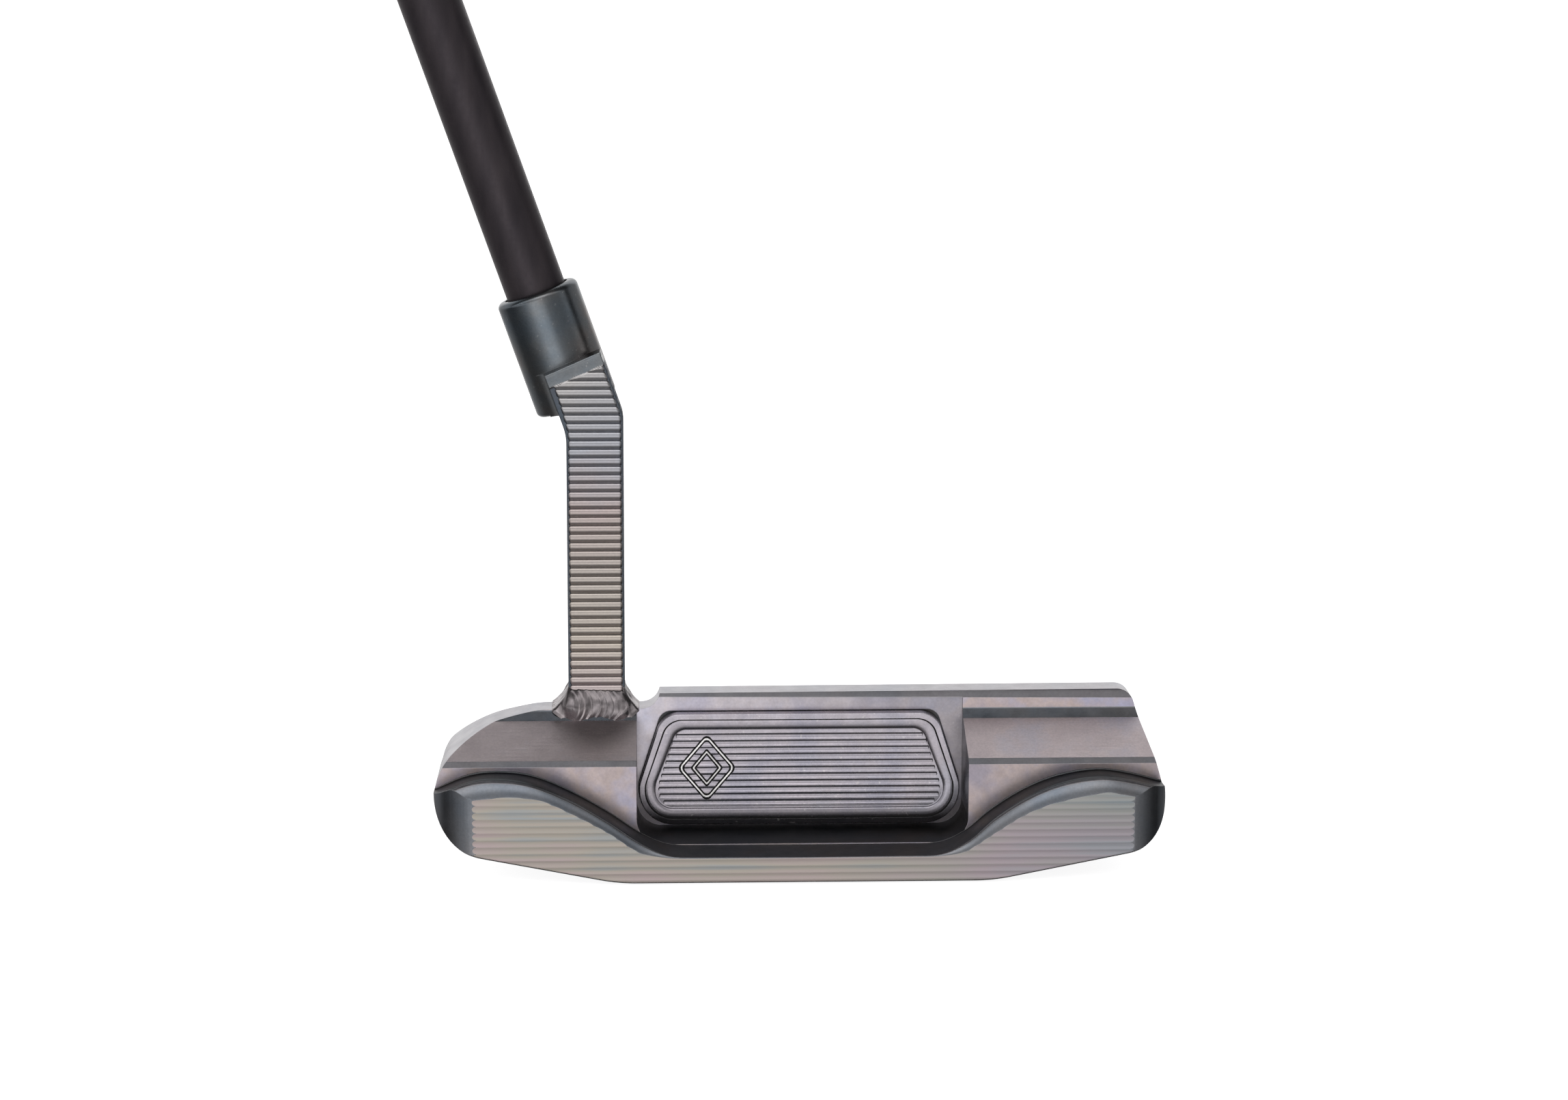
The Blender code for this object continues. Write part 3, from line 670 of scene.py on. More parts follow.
def bumper_section(x):
    """The top of the rear bumper at one x as (depth, z): a shallow valley, a rise, and a roll down."""
    crest = smooth_value(CREST, x)
    wall_top = smooth_value(WALL_TOP, x)
    scale = min((crest - wall_top) / 2.5, 1.0)
    fillet = 0.05 + 0.27 * scale
    rise = 0.46 * scale
    steep, shallow = math.radians(33), math.radians(10)
    crown_radius = 1.2 * scale + 0.03
    top = crest - fillet + rise
    flank_drop = top - wall_top - crown_radius * (1 - math.sin(steep))
    flank_radius = flank_drop / (math.sin(steep) - math.sin(shallow))
    crown_end = BLADE_DEPTH - flank_radius * (math.cos(shallow) - math.cos(steep))
    points = arc((BUMPER_DEPTH + fillet, crest), fillet, 180, 270, 4)
    crown_centre = (crown_end - crown_radius * math.cos(steep), top - crown_radius)
    valley = points[-1][0]
    for step in range(VALLEY_STEPS):
        t = (step + 1) / (VALLEY_STEPS + 1)
        points.append((valley + (crown_centre[0] - valley) * t, crest - fillet + rise * ease(0, 1, t)))
    points += arc(crown_centre, crown_radius, 90, math.degrees(steep), 10)
    flank_centre = (crown_end - flank_radius * math.cos(steep), wall_top - flank_radius * math.sin(shallow))
    return points + arc(flank_centre, flank_radius, math.degrees(steep), math.degrees(shallow), 10)[1:]


def bumper_cutter():
    """Everything above the bumpers, through close stations along each and a few over the cavity."""
    stations = [-60 + 0.75 * i for i in range(58)] + [-16, 0, 16] + [17.25 + 0.75 * i for i in range(58)]
    beyond = BLADE_DEPTH + 2
    rings = []
    for x in stations:
        section = bumper_section(x)
        section += [(beyond, section[-1][1] - 0.5), (beyond, CLEAR), (BUMPER_DEPTH, CLEAR)]
        rings.append([from_side(depth, z, x) for depth, z in section])
    cutter = skin("bumper_cutter", rings)
    # Painted shade and light: the fillet, the valley and the crown's first five faces take the darkened
    # steel, and the crown's next five faces take the lighter top-line steel, where they would mirror the dark
    # ceiling.
    shaded = 10 + VALLEY_STEPS
    finish = [DARK] * shaded + [TOP] * 5 + [POLISHED] * (len(rings[0]) - 6 - shaded) + [BROWN]
    cutter.data.polygons.foreach_set("material_index", finish * (len(rings) - 1) + [POLISHED] * 2)
    return cutter


def chamfer_foot(x):
    """The chamfer behind the top line grows wider towards the toe."""
    return BLADE_HEIGHT - CHAMFER - CHAMFER_GROWTH * x


def steps_cutter():
    """Everything above the steps behind the top line, with the finish of each step's surface."""
    start = (TOPLINE_DEPTH - 2, BLADE_HEIGHT + 2)
    steps = (
        (start, TOP),
        ((TOPLINE_DEPTH, BLADE_HEIGHT), SATIN),
        ((TOPLINE_DEPTH + 0.22, BLADE_HEIGHT - 0.14), TOP),
        ((WALL_DEPTH, 0.0), BROWN),
        ((WALL_DEPTH, WALL_FOOT), POLISHED),
        ((WALL_DEPTH + WALL_FILLET[0], WALL_FOOT - WALL_FILLET[1]), POLISHED),
        (RAMP_TOP, RAMP),
        (RAMP_FOOT, TOP),
        ((BUMPER_DEPTH, BUMPER_BROW), POLISHED),
        ((30.0, BUMPER_BROW), POLISHED),
        ((30.0, CLEAR + 1), POLISHED),
        ((start[0], CLEAR + 1), POLISHED),
    )
    rings = []
    for x in (-100, 100):
        rings.append([from_side(depth, z or chamfer_foot(x), x) for (depth, z), slot in steps])
    return skin("steps_cutter", rings, slots=[slot for point, slot in steps] + [TOP] * 2)


def scallop_cutter():
    """Shallow round-bottomed cuts that run along the rear wall."""
    wall = BLADE_DEPTH + 0.002
    outline = [(BLADE_DEPTH + 1.0, -1.0), (wall, -1.0)]
    for i in range(SCALLOPS):
        for step in range(1 if i else 0, 9):
            t = step / 8
            outline.append((wall - 4 * SCALLOP_DEPTH * t * (1 - t), -0.6 + (i + t) * SCALLOP_PITCH))
    outline.append((BLADE_DEPTH + 1.0, outline[-1][1]))
    return prism("scallop_cutter", outline, -70, 70, from_side, STRIPED)


def plan_cutter():
    """What is kept of the blade seen from above: round at the two rear corners."""
    rear, front = FACE_Y - BLADE_DEPTH, FACE_Y + 4
    left, right = HEEL_X - 0.2, TOE_X + 0.2
    rear_corners = ((left, rear, REAR_CORNERS[0]), (right, rear, REAR_CORNERS[1]))
    steps = 24
    plan = rounded((*rear_corners, (right, front, 1), (left, front, 1)), steps)
    corner = [POLISHED] * steps
    slots = corner + [STRIPED] + corner + [TOP] * (len(plan) - 2 * steps - 1)
    return prism("plan_cutter", plan, -20, 60, from_above, slots)


def face_cutter():
    """Everything in front of the lofted face."""
    tilt = math.tan(LOFT)
    low, high = BLADE_HEIGHT - 60, BLADE_HEIGHT + 60
    face = [(60 * tilt, high), (-60 * tilt, low), (-20, low), (-20, high)]
    return prism("face_cutter", face, -100, 100, from_side, FACE)


def pocket_cutter():
    """The cavity between the bumpers, up to the foot of the chamfer."""
    (left, right), floor = POCKET, POCKET_FLOOR
    top_left, top_right = chamfer_foot(left), chamfer_foot(right)
    lower = ((left, floor, POCKET_CORNER), (right, floor, POCKET_CORNER))
    pocket = rounded((*lower, (right, top_right, 0.0), (left, top_left, 0.0)), 20)
    # Painted shade: the pocket's floor and walls take the darkened steel.
    slots = [DARK] * (len(pocket) - 3) + [POLISHED, SATIN, DARK]
    return prism("pocket_cutter", pocket, POCKET_WALL_DEPTH, BUMPER_DEPTH + 0.01, from_behind, slots, SATIN)


def recess_cutter():
    """The shallow seat that the pad sinks into."""
    outline = pad_outline(-PAD_CLEARANCE, 2.0)
    # Its walls take the darkened steel as a painted shadow round the pad.
    return prism("pad_recess", outline, PAD_RECESS_DEPTH, 12, from_behind, DARK, DARK)


def make_head():
    outline = blade_outline()
    count = len(outline)
    rings = [(outline, -3), (outline, BLADE_DEPTH - SOLE_EDGE), (moved_in(outline, SOLE_EDGE), BLADE_DEPTH)]
    head = skin("head", [[from_behind(u, v, depth) for u, v in ring] for ring, depth in rings])
    # The small chamfer round the rear edge takes the darkened steel as a painted dark edge line.
    head.data.polygons.foreach_set("material_index", [TOP] * count + [DARK] * count + [TOP, STRIPED])
    boolean(head, plan_cutter(), "INTERSECT")
    for cutter in (face_cutter, steps_cutter, bumper_cutter, pocket_cutter, recess_cutter, scallop_cutter):
        boolean(head, cutter())
    settle(head, head_materials(), 20)
    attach(head, "root")
    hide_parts("head_body")


# Pad


def pad_outline(inset, top_radius=3.6):
    half, top_half = PAD_HALF - inset, PAD_TOP_HALF - inset * 0.9
    return rounded(
        (
            (PAD_X - half, PAD_BOTTOM + inset, PAD_CORNER - inset),
            (PAD_X + half, PAD_BOTTOM + inset, PAD_CORNER - inset),
            (PAD_X + half, PAD_SHOULDER, 4),
            (PAD_X + top_half, PAD_TOP - inset, top_radius - inset / 2),
            (PAD_X - top_half, PAD_TOP - inset, top_radius - inset / 2),
            (PAD_X - half, PAD_SHOULDER, 4),
        ),
        14,
    )


# (inset, drop below the face) from the outer edge over the rim, a thin groove and a cove to the ribbed floor
PAD_PROFILE = (
    (0.0, 0.16), (0.05, 0.05), (0.16, 0.0), (0.90, 0.0), (0.93, 0.24), (1.12, 0.26), (1.24, 0.235),
    (1.45, 0.24), (1.75, 0.25), (2.05, 0.27), (2.30, 0.32), (2.48, 0.42), (2.58, 0.60), (PAD_RIM, 0.64),
)
GROOVE_RINGS = (5, 7)


def pad_field_half(z):
    """Half the width of the pad's ribbed floor at one height."""
    slope = (PAD_TOP_HALF - PAD_HALF) / (PAD_TOP - PAD_SHOULDER)
    half = PAD_HALF + slope * max(z - PAD_SHOULDER, 0.0) - PAD_RIM * 1.04
    low_corner, top_corner = PAD_CORNER - PAD_RIM, 2.0
    below = max(PAD_BOTTOM + PAD_CORNER - z, 0.0)
    above = max(z - (PAD_TOP - PAD_RIM - top_corner), 0.0)
    half -= low_corner - math.sqrt(max(low_corner**2 - below**2, 0.0))
    return half - (top_corner - math.sqrt(max(top_corner**2 - above**2, 0.0)))


def scallop_bar(name, z):
    """One ball-ended cut along the pad's floor, as a bar with round ends."""
    radius, sink = 0.78, 0.15
    tip = 0.6 * radius
    half = pad_field_half(z)
    centre = PAD_FACE_DEPTH - PAD_FLOOR_DROP + radius - sink
    rings = []
    for step in range(-6, 7):
        angle = math.radians(90 * step / 6)
        end = math.copysign(half - tip, step) if step else 0.0
        size = radius * max(math.cos(angle), 0.02)
        x = PAD_X + end + tip * math.sin(angle)
        rings.append([from_side(depth, height, x) for depth, height in circle((centre, z), size, 28)])
    return skin(name, rings)


def emblem_outline(grow):
    """A plain upright lozenge."""
    x, z = EMBLEM_CENTRE
    wide, tall = 4.3 + grow * 1.25, 5.1 + grow * 1.45
    tip, side = 0.7 + grow / 3, 0.9 + grow / 3
    return rounded(((x, z - tall, tip), (x + wide, z, side), (x, z + tall, tip), (x - wide, z, side)), 8)


# Half the section of a cut line and of a raised one: (share of the half width, share of the height)
CUT_LINE = ((1.0, 0.0), (1.0, 1.0))
RAISED_LINE = ((1.0, 0.0), (0.97, 0.8), (0.85, 0.96), (0.7, 1.0))


def lozenge_line(name, half_section, grow, half_width, back, height, slots=0):
    """A closed line that follows the lozenge and stands up from one depth."""
    section = (*half_section, *((-side, rise) for side, rise in reversed(half_section)))
    rings = []
    for side, rise in section:
        outline = emblem_outline(grow + half_width * side)
        rings.append([from_behind(u, v, back + height * rise) for u, v in outline])
    return skin(name, rings + rings[:1], caps=False, slots=slots)


def make_pad():
    # Painted shade: the pad darkens towards its bottom rim, standing in for the dark pocket floor that it
    # mirrors.
    low_rim_painted_shade = ("Z", 20, ((0.5 + (PAD_BOTTOM + 1.0) / 50, 0.15), (0.5 + (PAD_BOTTOM + 3.0) / 50, 1.0)))
    tones = ((0.37, 0.36, 0.42), (0.45, 0.42, 0.46), (0.41, 0.40, 0.45))
    # Painted shade: near-black steel for the pad's thin groove, the emblem's cut walls and the film seat.
    black = ((0.02, 0.02, 0.02), (0.025, 0.025, 0.025), (0.03, 0.03, 0.03))
    materials = [
        steel("pad_steel", tones, 0.25, edge=0.05, wear_and_edge_highlight=0.4, specks=0.2, grades=[low_rim_painted_shade]),
        steel("pad_cuts_painted_shade", black, 0.5, wear_and_edge_highlight=0.0),
    ]
    rings = [[from_behind(u, v, PAD_BACK_DEPTH) for u, v in pad_outline(0.0)]]
    for inset, drop in PAD_PROFILE:
        rings.append([from_behind(u, v, PAD_FACE_DEPTH - drop) for u, v in pad_outline(inset)])
    pad = skin("pad", rings)
    # The thin groove takes the near-black painted shade.
    per_ring = len(rings[0])
    first, last = ((ring - 1) * per_ring for ring in GROOVE_RINGS)
    slots = [int(first <= i < last) for i in range(len(pad.data.polygons))]
    pad.data.polygons.foreach_set("material_index", slots)
    for i in range(VALLEYS):
        boolean(pad, scallop_bar(f"scallop_{i}", FIRST_VALLEY + (i + 0.5) * RIB_PITCH))
    floor = PAD_FACE_DEPTH - EMBLEM_SINK
    for i, grow in enumerate(EMBLEM_LINES):
        boolean(pad, lozenge_line(f"emblem_cut_{i}", CUT_LINE, grow, 0.38, floor, EMBLEM_SINK + 1, 1))
    boolean(pad, prism("film_seat", pad_outline(1.2), PAD_BACK_DEPTH - 1, FILM_SEAT_DEPTH, from_behind, 1, 1))
    settle(pad, materials, 20)
    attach(pad, "root")
    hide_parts("cavity_pad")
    bright_tones = ((0.95, 0.94, 0.93), (0.98, 0.97, 0.96), (0.96, 0.95, 0.94))
    bright = steel("emblem_line_steel", bright_tones, 0.3, wear_and_edge_highlight=0.0)
    for i, grow in enumerate(EMBLEM_LINES):
        bead = lozenge_line(f"pad_emblem_line_{i + 1}", RAISED_LINE, grow, 0.17, floor - 0.01, 0.56)
        dress(bead, [bright], 50)
        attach(bead, "root")


# Neck

RIBBED, SLEEVE_STEEL, GROOVED = range(3)


def post_edges():
    """The post's left and right edges as (z, x) rows, with the bends rounded."""
    edges = []
    for upright, across, radius in ((POST[0], LEAN_EDGE - LEAN_WIDTH, 8.4), (POST[1], LEAN_EDGE, 6.4)):
        start = on_axis(0, across)
        bend = (start[0] - upright) / math.tan(LEAN) + start[1]
        high = on_axis(120, across)
        corner = rounded(((upright, 0.0, 0.0), (upright, bend, radius), (high[0], high[1], 0.0)), 12)
        edges.append(([p[1] for p in corner], [p[0] for p in corner]))
    return edges


def below_ledge(x, z):
    """How far a place on the post lies below the ledge, measured along the shaft axis."""
    along = z * math.cos(LEAN) - (x - AXIS.x) * math.sin(LEAN)
    across = z * math.sin(LEAN) + (x - AXIS.x) * math.cos(LEAN)
    return LEDGE + LEDGE_TILT * across - along


def rib_drop(z, below, from_left, from_right):
    """How far a place lies below the post's rear face: rounded ribs, grooves, and a facet under the ledge."""
    left_border = NECK_BORDER + NECK_BORDER_GROWTH * ease(13, 3, below)
    inside = min(from_left - left_border, from_right - NECK_BORDER)
    offset = ((z - FIRST_NECK_RIB) / NECK_RIB_PITCH + 0.5) % 1.0 - 0.5
    end = max(1 - inside / 0.4, 0.0)
    reach = (abs(offset * NECK_RIB_PITCH / RIB_HALF) ** 3 + end**3) ** (1 / 3)
    rib = RIB_GROOVE
    if reach < 1 and inside > 0:
        rib = 0.03 + RIB_CROWN * (1 - math.sqrt(1 - 0.96 * reach**2.1))
    corner = 0.14 * (1 - min(max(below, 0.0) / 0.3, 1.0)) ** 2
    facet = 0.02 + corner + 0.20 * ease(-0.6, 2.6, below)
    return rib + (facet - rib) * ease(LEDGE_FACET + 0.2, LEDGE_FACET, below)


def ribbed_plate():
    """The post as a grid whose rear face carries the ribs."""
    (z_left, x_left), (z_right, x_right) = post_edges()
    fractions = (0.0, 0.05, 0.075, 0.1, 0.15, 0.22, 0.3, 0.4, 0.5, 0.6, 0.7, 0.78, 0.85, 0.9, 0.925, 0.95)
    heights = [POST_FOOT]
    lowest_rib = math.ceil((POST_FOOT - FIRST_NECK_RIB) / NECK_RIB_PITCH) - 1
    start = FIRST_NECK_RIB + (lowest_rib - 0.5) * NECK_RIB_PITCH
    for i in range(46):
        heights += [start + (i + f) * NECK_RIB_PITCH for f in fractions]
    heights = sorted(z for z in set(heights) if POST_FOOT <= z < POST_TOP)
    near = [0.0, 0.02, 0.08, 0.18, 0.28] + [0.30 + 0.1 * i for i in range(19)]
    rows = []
    finish = []
    for z in heights:
        left, right = np.interp(z, z_left, x_left), np.interp(z, z_right, x_right)
        width = right - left
        middle = [near[-1] + (width - 2 * near[-1]) * k / 30 for k in range(1, 30)]
        offsets = [*near, *middle, *(width - n for n in reversed(near))]
        rear = []
        for offset in offsets:
            side = min(offset, width - offset)
            edge_drop = 0.12 * (1 - min(side / 0.12, 1.0)) ** 2
            below = below_ledge(left + offset, z)
            drop = rib_drop(z, below, offset, width - offset)
            # Grooves and the post's edges take the painted-shade steel.
            ribbed = GROOVED if drop > RIB_GROOVE - 0.03 or side < 0.08 else RIBBED
            finish.append(SLEEVE_STEEL if below < LEDGE_FACET else ribbed)
            rear.append(from_behind(left + offset, z, POST_REAR_DEPTH - drop - edge_drop))
        finish += [SLEEVE_STEEL] * 2
        rows.append(rear + [from_behind(right, z, 0.12), from_behind(left, z, 0.12)])
    plate = skin("neck", rows)
    plate.data.polygons.foreach_set("material_index", finish[: -len(rows[0])] + [RIBBED] * 2)
    return plate


def neck_web():
    """The fillet that carries the post's left edge into the sleeve, drawn across the axis."""
    radius = 5.0
    left = LEAN_EDGE - LEAN_WIDTH
    centre_across = left - radius
    rise = math.sqrt((SLEEVE_RADIUS + radius) ** 2 - centre_across**2)
    touch = math.degrees(math.atan2(-rise, -centre_across))
    curve = arc((centre_across, rise), radius, touch, 0, 16)
    outline = [*curve, (left + 2.5, rise), (left + 2.5, 1.0), (-1.0, 1.0)]
    return prism("neck_web", outline, SLEEVE[0], LEDGE + 3, from_axis, SLEEVE_STEEL, SLEEVE_STEEL)


def make_neck():
    sleeve = ((0.15, 0.18, 0.21), (0.19, 0.20, 0.21), (0.23, 0.20, 0.19))
    # Painted shade and reflection: a dark blue-grey steel for the grooves between the ribs and for the post's
    # edges.
    groove = ((0.10, 0.12, 0.145), (0.11, 0.125, 0.15), (0.115, 0.125, 0.14))
    materials = [
        ribbed_steel(),
        steel("sleeve_steel", sleeve, 0.25, edge=0.1, wear_and_edge_highlight=0.2, mottle=75, specks=0.15, sheen=0.8),
        steel("neck_groove_painted_shade", groove, 0.4, wear_and_edge_highlight=0.1, sheen=0.5),
    ]
    neck = ribbed_plate()
    boolean(neck, neck_web(), "UNION")
    plan = [(-30, -20), (30, -20), (30, 40), (-30, 40)]
    rings = [[from_axis(u, v, LEDGE + LEDGE_TILT * u + rise) for u, v in plan] for rise in (0, 30)]
    boolean(neck, skin("above_ledge", rings, slots=SLEEVE_STEEL))
    low, high = SLEEVE
    rim, toe = 1.0, 0.8
    profile = [
        (0.0, high),
        *arc((SLEEVE_RADIUS - rim, high - rim), rim, 90, 0, 8),
        *arc((SLEEVE_RADIUS - toe, low + toe), toe, 0, -90, 5),
        (0.0, low),
    ]
    boolean(neck, turned("sleeve", profile, 96, SLEEVE_STEEL, closed=False), "UNION")
    above = high + 5
    bore = [(0.0, above), (BORE_RADIUS, above), (BORE_RADIUS, SOCKET_FLOOR), (0.0, SOCKET_FLOOR)]
    boolean(neck, turned("bore", bore, 96, SLEEVE_STEEL, closed=False))
    settle(neck, materials, 28)
    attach(neck, "root")
    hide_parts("neck")


# Weld


def weld_frame(share):
    """A place on the post's outline at a share of the way round it, the outward direction, and the distance.

    The outline goes back along the left side, across the rear, and forward along the right side.
    """
    turn = 0.6
    (left, right), rear = POST, POST_REAR_DEPTH
    corners = ((left, -0.5, 0), (left, rear, turn), (right, rear, turn), (right, -0.5, 0))
    points = [Vector(p) for p in rounded(corners, 10)]
    lengths = [0.0]
    for a, b in zip(points, points[1:]):
        lengths.append(lengths[-1] + (b - a).length)
    distance = share * lengths[-1]
    i = max(k for k in range(len(points) - 1) if lengths[k] <= distance)
    run = (points[i + 1] - points[i]).normalized()
    return points[i] + run * (distance - lengths[i]), Vector((-run.y, run.x)), distance


def weld_section(share, rows):
    """The bead's section at one place round the post: down its rippled outside, and back up inside."""
    place, out, s = weld_frame(share)
    across = (place.x - POST[0]) / (POST[1] - POST[0])
    rear = ease(0.35, 0.9, out.y)
    side = 1 - rear
    smooth_start = ease(0.30, 0.12, across)
    reach = rear * (0.95 + 0.25 * math.sin(across * 9)) + side * (2.35 + 0.45 * (1 - across))
    foot = LAND_HEIGHT - WELD_DROP * rear
    top = WELD_TOP - 0.35 * across * rear + 0.25 * side
    hidden = foot - 0.35
    section = []
    for r in range(rows + 1):
        v = r / rows
        warp = 0.5 * noise.noise(Vector((s * 0.5, v * 1.2, 21.0)))
        crescent = (s / CRESCENT_PITCH + warp - 1.3 * (1 - (2 * v - 1) ** 2)) % 1.0
        wave = (1 - crescent) ** 1.4 * ease(0.0, 0.12, crescent)
        lump = noise.noise(Vector((s * 0.7, v * 2.0, 3.0)))
        fine = noise.noise(Vector((s * 3.0, v * 5.0, 9.0)))
        body = math.sin(math.pi * v)
        bulge = rear * (0.62 + 0.3 * smooth_start) * body - 0.30 * side * body
        ripple = (0.02 + 0.14 * rear * (1 - smooth_start)) * (wave - 0.4) * (0.1 + 0.9 * ease(0.15, 0.6, v))
        edge = (0.14 if v < 0.5 else -0.14) * (wave - 0.4) * (1 - body)
        distance = reach * v**1.15 + bulge + ripple + 0.26 * lump * body + 0.02 * fine if r else -0.25
        height = top + (foot - top) * v + edge + 0.10 * lump if r < rows else hidden
        section.append((place + out * max(distance, -0.25), height))
    inside = place - out * 0.5
    return [*section, (inside, hidden), (inside, top)]


def make_weld():
    """A bead round the post's foot: overlapping crescents, a ragged edge and a smooth facet at its start."""
    columns, rows = 260, 36
    rings = []
    for column in range(columns + 1):
        section = weld_section(min(column / columns, 0.999999), rows)
        rings.append([from_behind(point.x, height, max(point.y, 0.15)) for point, height in section])
    weld = skin("weld", rings)
    tones = ((0.22, 0.20, 0.21), (0.33, 0.30, 0.31), (0.46, 0.41, 0.42))
    low_edge_lighter = ("Z", 10, ((0.72, 1.15), (0.765, 0.5)))
    grades = [low_edge_lighter]
    finish = steel("weld_steel", tones, 0.27, edge=0.05, wear_and_edge_highlight=0.4, grain=0.006, mottle=260, grades=grades)
    dress(weld, [finish], 60)
    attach(weld, "root")
    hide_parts("neck_weld")


# Shaft and grip


def shaft_radius(along):
    return float(np.interp(along, SHAFT_TAPER, (SHAFT_RADIUS, BUTT_RADIUS)))


def make_shaft():
    bottom, top = SOCKET_FLOOR + 0.25, CLUB_LENGTH - 3.5
    heights = [bottom, *SHAFT_TAPER, top]
    profile = [(shaft_radius(h), h) for h in reversed(heights)]
    profile += [(shaft_radius(h) - SHAFT_WALL, h) for h in heights]
    shaft = turned("shaft_tube", profile, 96)
    dress(shaft, [shaft_black()], 40)
    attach(shaft, "root")
    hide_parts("shaft")


def grip_point(share, angle, sink):
    """A place round the grip: squared off in front, rounder towards the palm."""
    shares, *sizes = zip(*GRIP_SECTIONS)
    half_width, flat, palm = (np.interp(share, shares, size) for size in sizes)
    cos, sin = math.cos(angle), math.sin(angle)
    power = 0.55 if cos > 0 else 0.9
    across = math.copysign(abs(cos) ** power, cos) * ((flat if cos > 0 else palm) - sink)
    side = math.copysign(abs(sin) ** 0.85, sin) * (half_width - sink)
    return across, side


def make_grip():
    """A pistol grip: a flat front for the thumbs, and rows of small dimples round the back and the sides."""
    start = CLUB_LENGTH - GRIP_LENGTH
    around, rows = 160, 520
    rings = []
    for r in range(rows + 1):
        share = r / rows
        along = start + share * GRIP_LENGTH
        lip = 0.5 * (1 - ease(0.0, 0.012, share))
        band = ease(0.05, 0.06, share) * (1 - ease(0.93, 0.94, share))
        ring = []
        for i in range(around):
            angle = 2 * math.pi * i / around
            back = ease(-0.15, -0.05, -math.cos(angle) + 0.35)
            cell = math.sin(along * math.pi / DIMPLE_PITCH) * math.sin(angle * 20)
            dimple = DIMPLE_DEPTH * max(cell, 0.0) ** 0.7 * back * band
            ring.append(from_axis(*grip_point(share, angle, lip + dimple), along))
        rings.append(ring)
    bore = BUTT_RADIUS + 0.8
    cap = CLUB_LENGTH - GRIP_CAP
    vent = ((CLUB_LENGTH, 2 * VENT_RADIUS), (CLUB_LENGTH - 0.6, VENT_RADIUS), (cap, VENT_RADIUS))
    for along, radius in (*vent, (cap, bore), (start, bore)):
        rings.append([from_axis(u, v, along) for u, v in circle((0, 0), radius, around)])
    grip = skin("grip_rubber_sleeve", rings + rings[:1], caps=False)
    dress(grip, [rubber("grip_rubber", (0.012, 0.012, 0.013))], 35)
    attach(grip, "root")
    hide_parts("grip")


def dress_hidden_nodes():
    """The film, the epoxy and the tape keep their CAD solids."""
    for node, slot, material in (
        ("pad_adhesive", "bonding_film", rubber("bonding_film", (0.55, 0.55, 0.52), 0.6)),
        ("shaft_epoxy", "epoxy", rubber("cured_epoxy", (0.30, 0.24, 0.12), 0.35)),
        ("grip_tape", "grip_tape", rubber("grip_tape", (0.60, 0.58, 0.52), 0.8)),
    ):
        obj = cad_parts[node]
        obj.data.materials.clear()
        obj.data.materials.append(material)


# Stage, light and camera

CAMERA_PLACE = Vector((-0.02325, -0.50825, 0.14322))
CAMERA_TURN = (10.36, 2.34, 0.15)
CAMERA_LENS = 76.05


def make_camera():
    """The camera, with its pitch, yaw and roll in degrees."""
    pitch, yaw, roll = (math.radians(angle) for angle in CAMERA_TURN)
    forward = Vector((math.sin(yaw) * math.cos(pitch), math.cos(yaw) * math.cos(pitch), -math.sin(pitch)))
    level = Vector((math.cos(yaw), -math.sin(yaw), 0))
    rise = level.cross(forward)
    right = level * math.cos(roll) + rise * math.sin(roll)
    up = rise * math.cos(roll) - level * math.sin(roll)
    data = bpy.data.cameras.new("camera")
    data.lens = CAMERA_LENS
    data.sensor_width = 36
    data.clip_start = 0.01
    camera = bpy.data.objects.new("camera", data)
    bpy.context.scene.collection.objects.link(camera)
    turn = Matrix((right, up, -forward)).transposed()
    camera.matrix_world = Matrix.Translation(CAMERA_PLACE) @ turn.to_4x4()
    bpy.context.scene.camera = camera


def make_floor():
    """A plain pale floor that fades into the backdrop."""
    mesh = bpy.data.meshes.new("floor")
    size = 30.0
    corners = [(-size, -size, 0), (size, -size, 0), (size, size, 0), (-size, size, 0)]
    mesh.from_pydata(corners, [], [(0, 1, 2, 3)])
    floor = bpy.data.objects.new("floor", mesh)
    floor.location.z = -0.0004
    bpy.context.scene.collection.objects.link(floor)
    material = bpy.data.materials.new("pale_floor")
    material.use_nodes = True
    shader = material.node_tree.nodes["Principled BSDF"]
    for name, value in (
        ("Base Color", (0.9, 0.9, 0.9, 1)),
        ("Roughness", 0.9),
        ("Specular IOR Level", 0.0),
        ("Emission Color", (1, 1, 1, 1)),
        ("Emission Strength", 0.85),
    ):
        shader.inputs[name].default_value = value
    mesh.materials.append(material)
    floor.visible_glossy = False


# Brightness round the studio, from the camera's side of the horizon (0 degrees) over the top to the far side
# (180), and on down past the floor
STUDIO = (
    (-180, 1.2), (-165, 0.9), (-120, 0.2), (-60, 0.2), (-34, 0.3), (-24, 0.6), (-15, 1.35), (-6, 1.35),
    (2, 0.9), (20, 0.7), (29, 1.2), (36, 1.8), (52, 1.8), (61, 0.12), (106, 0.12), (118, 0.8), (140, 1.15),
    (165, 1.15), (180, 1.2),
)

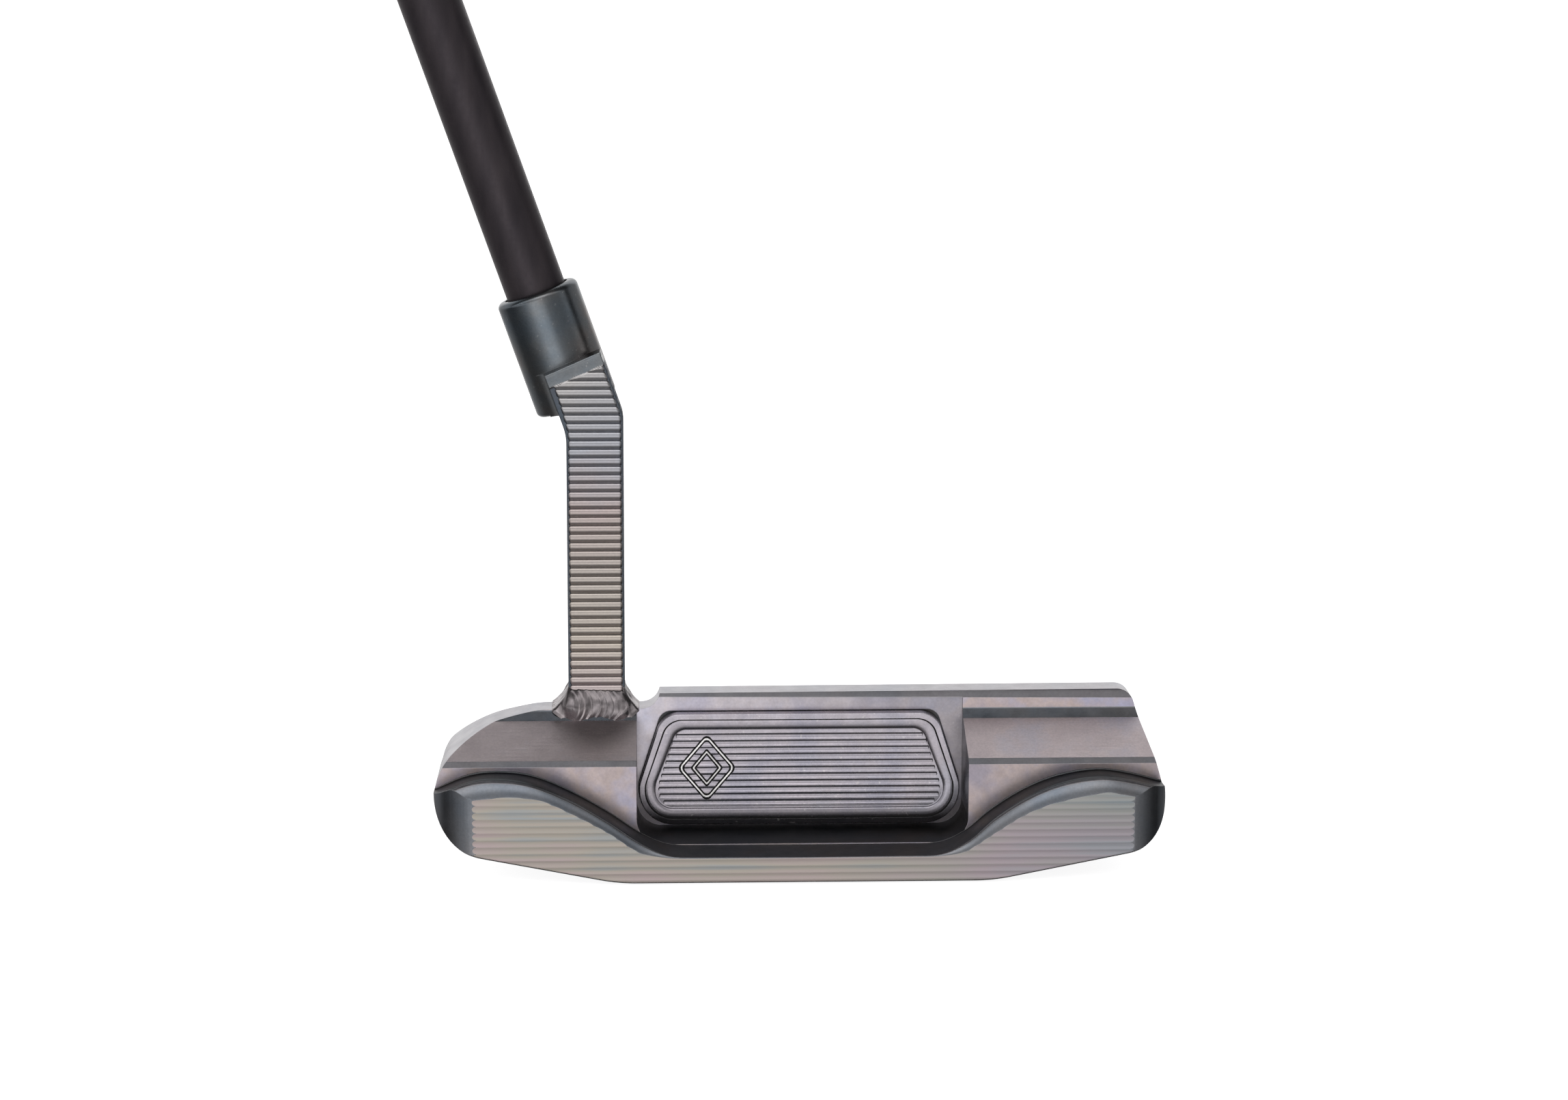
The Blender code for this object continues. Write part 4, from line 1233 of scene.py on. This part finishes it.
# The same from the heel's side to the toe's, as shares of the way across
SIDE_FALL = (
    (0.0, 0.55), (0.22, 0.60), (0.30, 0.75), (0.35, 1.0), (0.52, 1.0), (0.585, 0.85), (0.66, 0.48),
    (1.0, 0.30),
)


def make_studio():
    """A soft studio: a softbox above and behind the camera, a dark ceiling and a white backdrop."""
    world = bpy.data.worlds.new("studio")
    world.use_nodes = True
    world.node_tree.nodes.clear()
    bpy.context.scene.world = world
    n = Nodes(world, "Generated")
    sideways, forward, up = (n.axis(name) for name in "XYZ")
    angle = n.maths("ARCTAN2", up, n.maths("MULTIPLY", forward, -1.0))
    turn = n.maths("MULTIPLY_ADD", angle, 1 / (2 * math.pi), 0.5)
    top = max(level for degrees, level in STUDIO)
    level = n.ramp(turn, [((degrees + 180) / 360, value / top) for degrees, value in STUDIO])
    fall = n.ramp(n.maths("MULTIPLY_ADD", sideways, 0.5, 0.5), SIDE_FALL)
    behind = n.maths("MULTIPLY_ADD", up, 0.5, forward)
    far = n.ramp(n.maths("MULTIPLY_ADD", behind, 0.5, 0.5), ((0.89, 0.0), (0.97, 1.0)))
    keep = n.maths("MAXIMUM", fall, far)
    backgrounds = []
    for color, strength in (
        ((1.0, 0.99, 0.985, 1), n.maths("MULTIPLY", n.maths("MULTIPLY", level, keep), top)),
        ((1, 1, 1, 1), 1.0),
    ):
        node = n.new("ShaderNodeBackground")
        n.feed(node.inputs["Color"], color)
        n.feed(node.inputs["Strength"], strength)
        backgrounds.append(node.outputs[0])
    seen = n.new("ShaderNodeLightPath").outputs["Is Camera Ray"]
    mix = n.new("ShaderNodeMixShader")
    for socket, value in zip(mix.inputs, (seen, *backgrounds)):
        n.feed(socket, value)
    n.feed(n.new("ShaderNodeOutputWorld").inputs["Surface"], mix.outputs[0])
    bpy.context.scene.view_settings.view_transform = "Standard"


def main():
    make_camera()
    make_floor()
    make_studio()
    make_head()
    make_pad()
    make_neck()
    make_weld()
    make_shaft()
    make_grip()
    dress_hidden_nodes()


main()
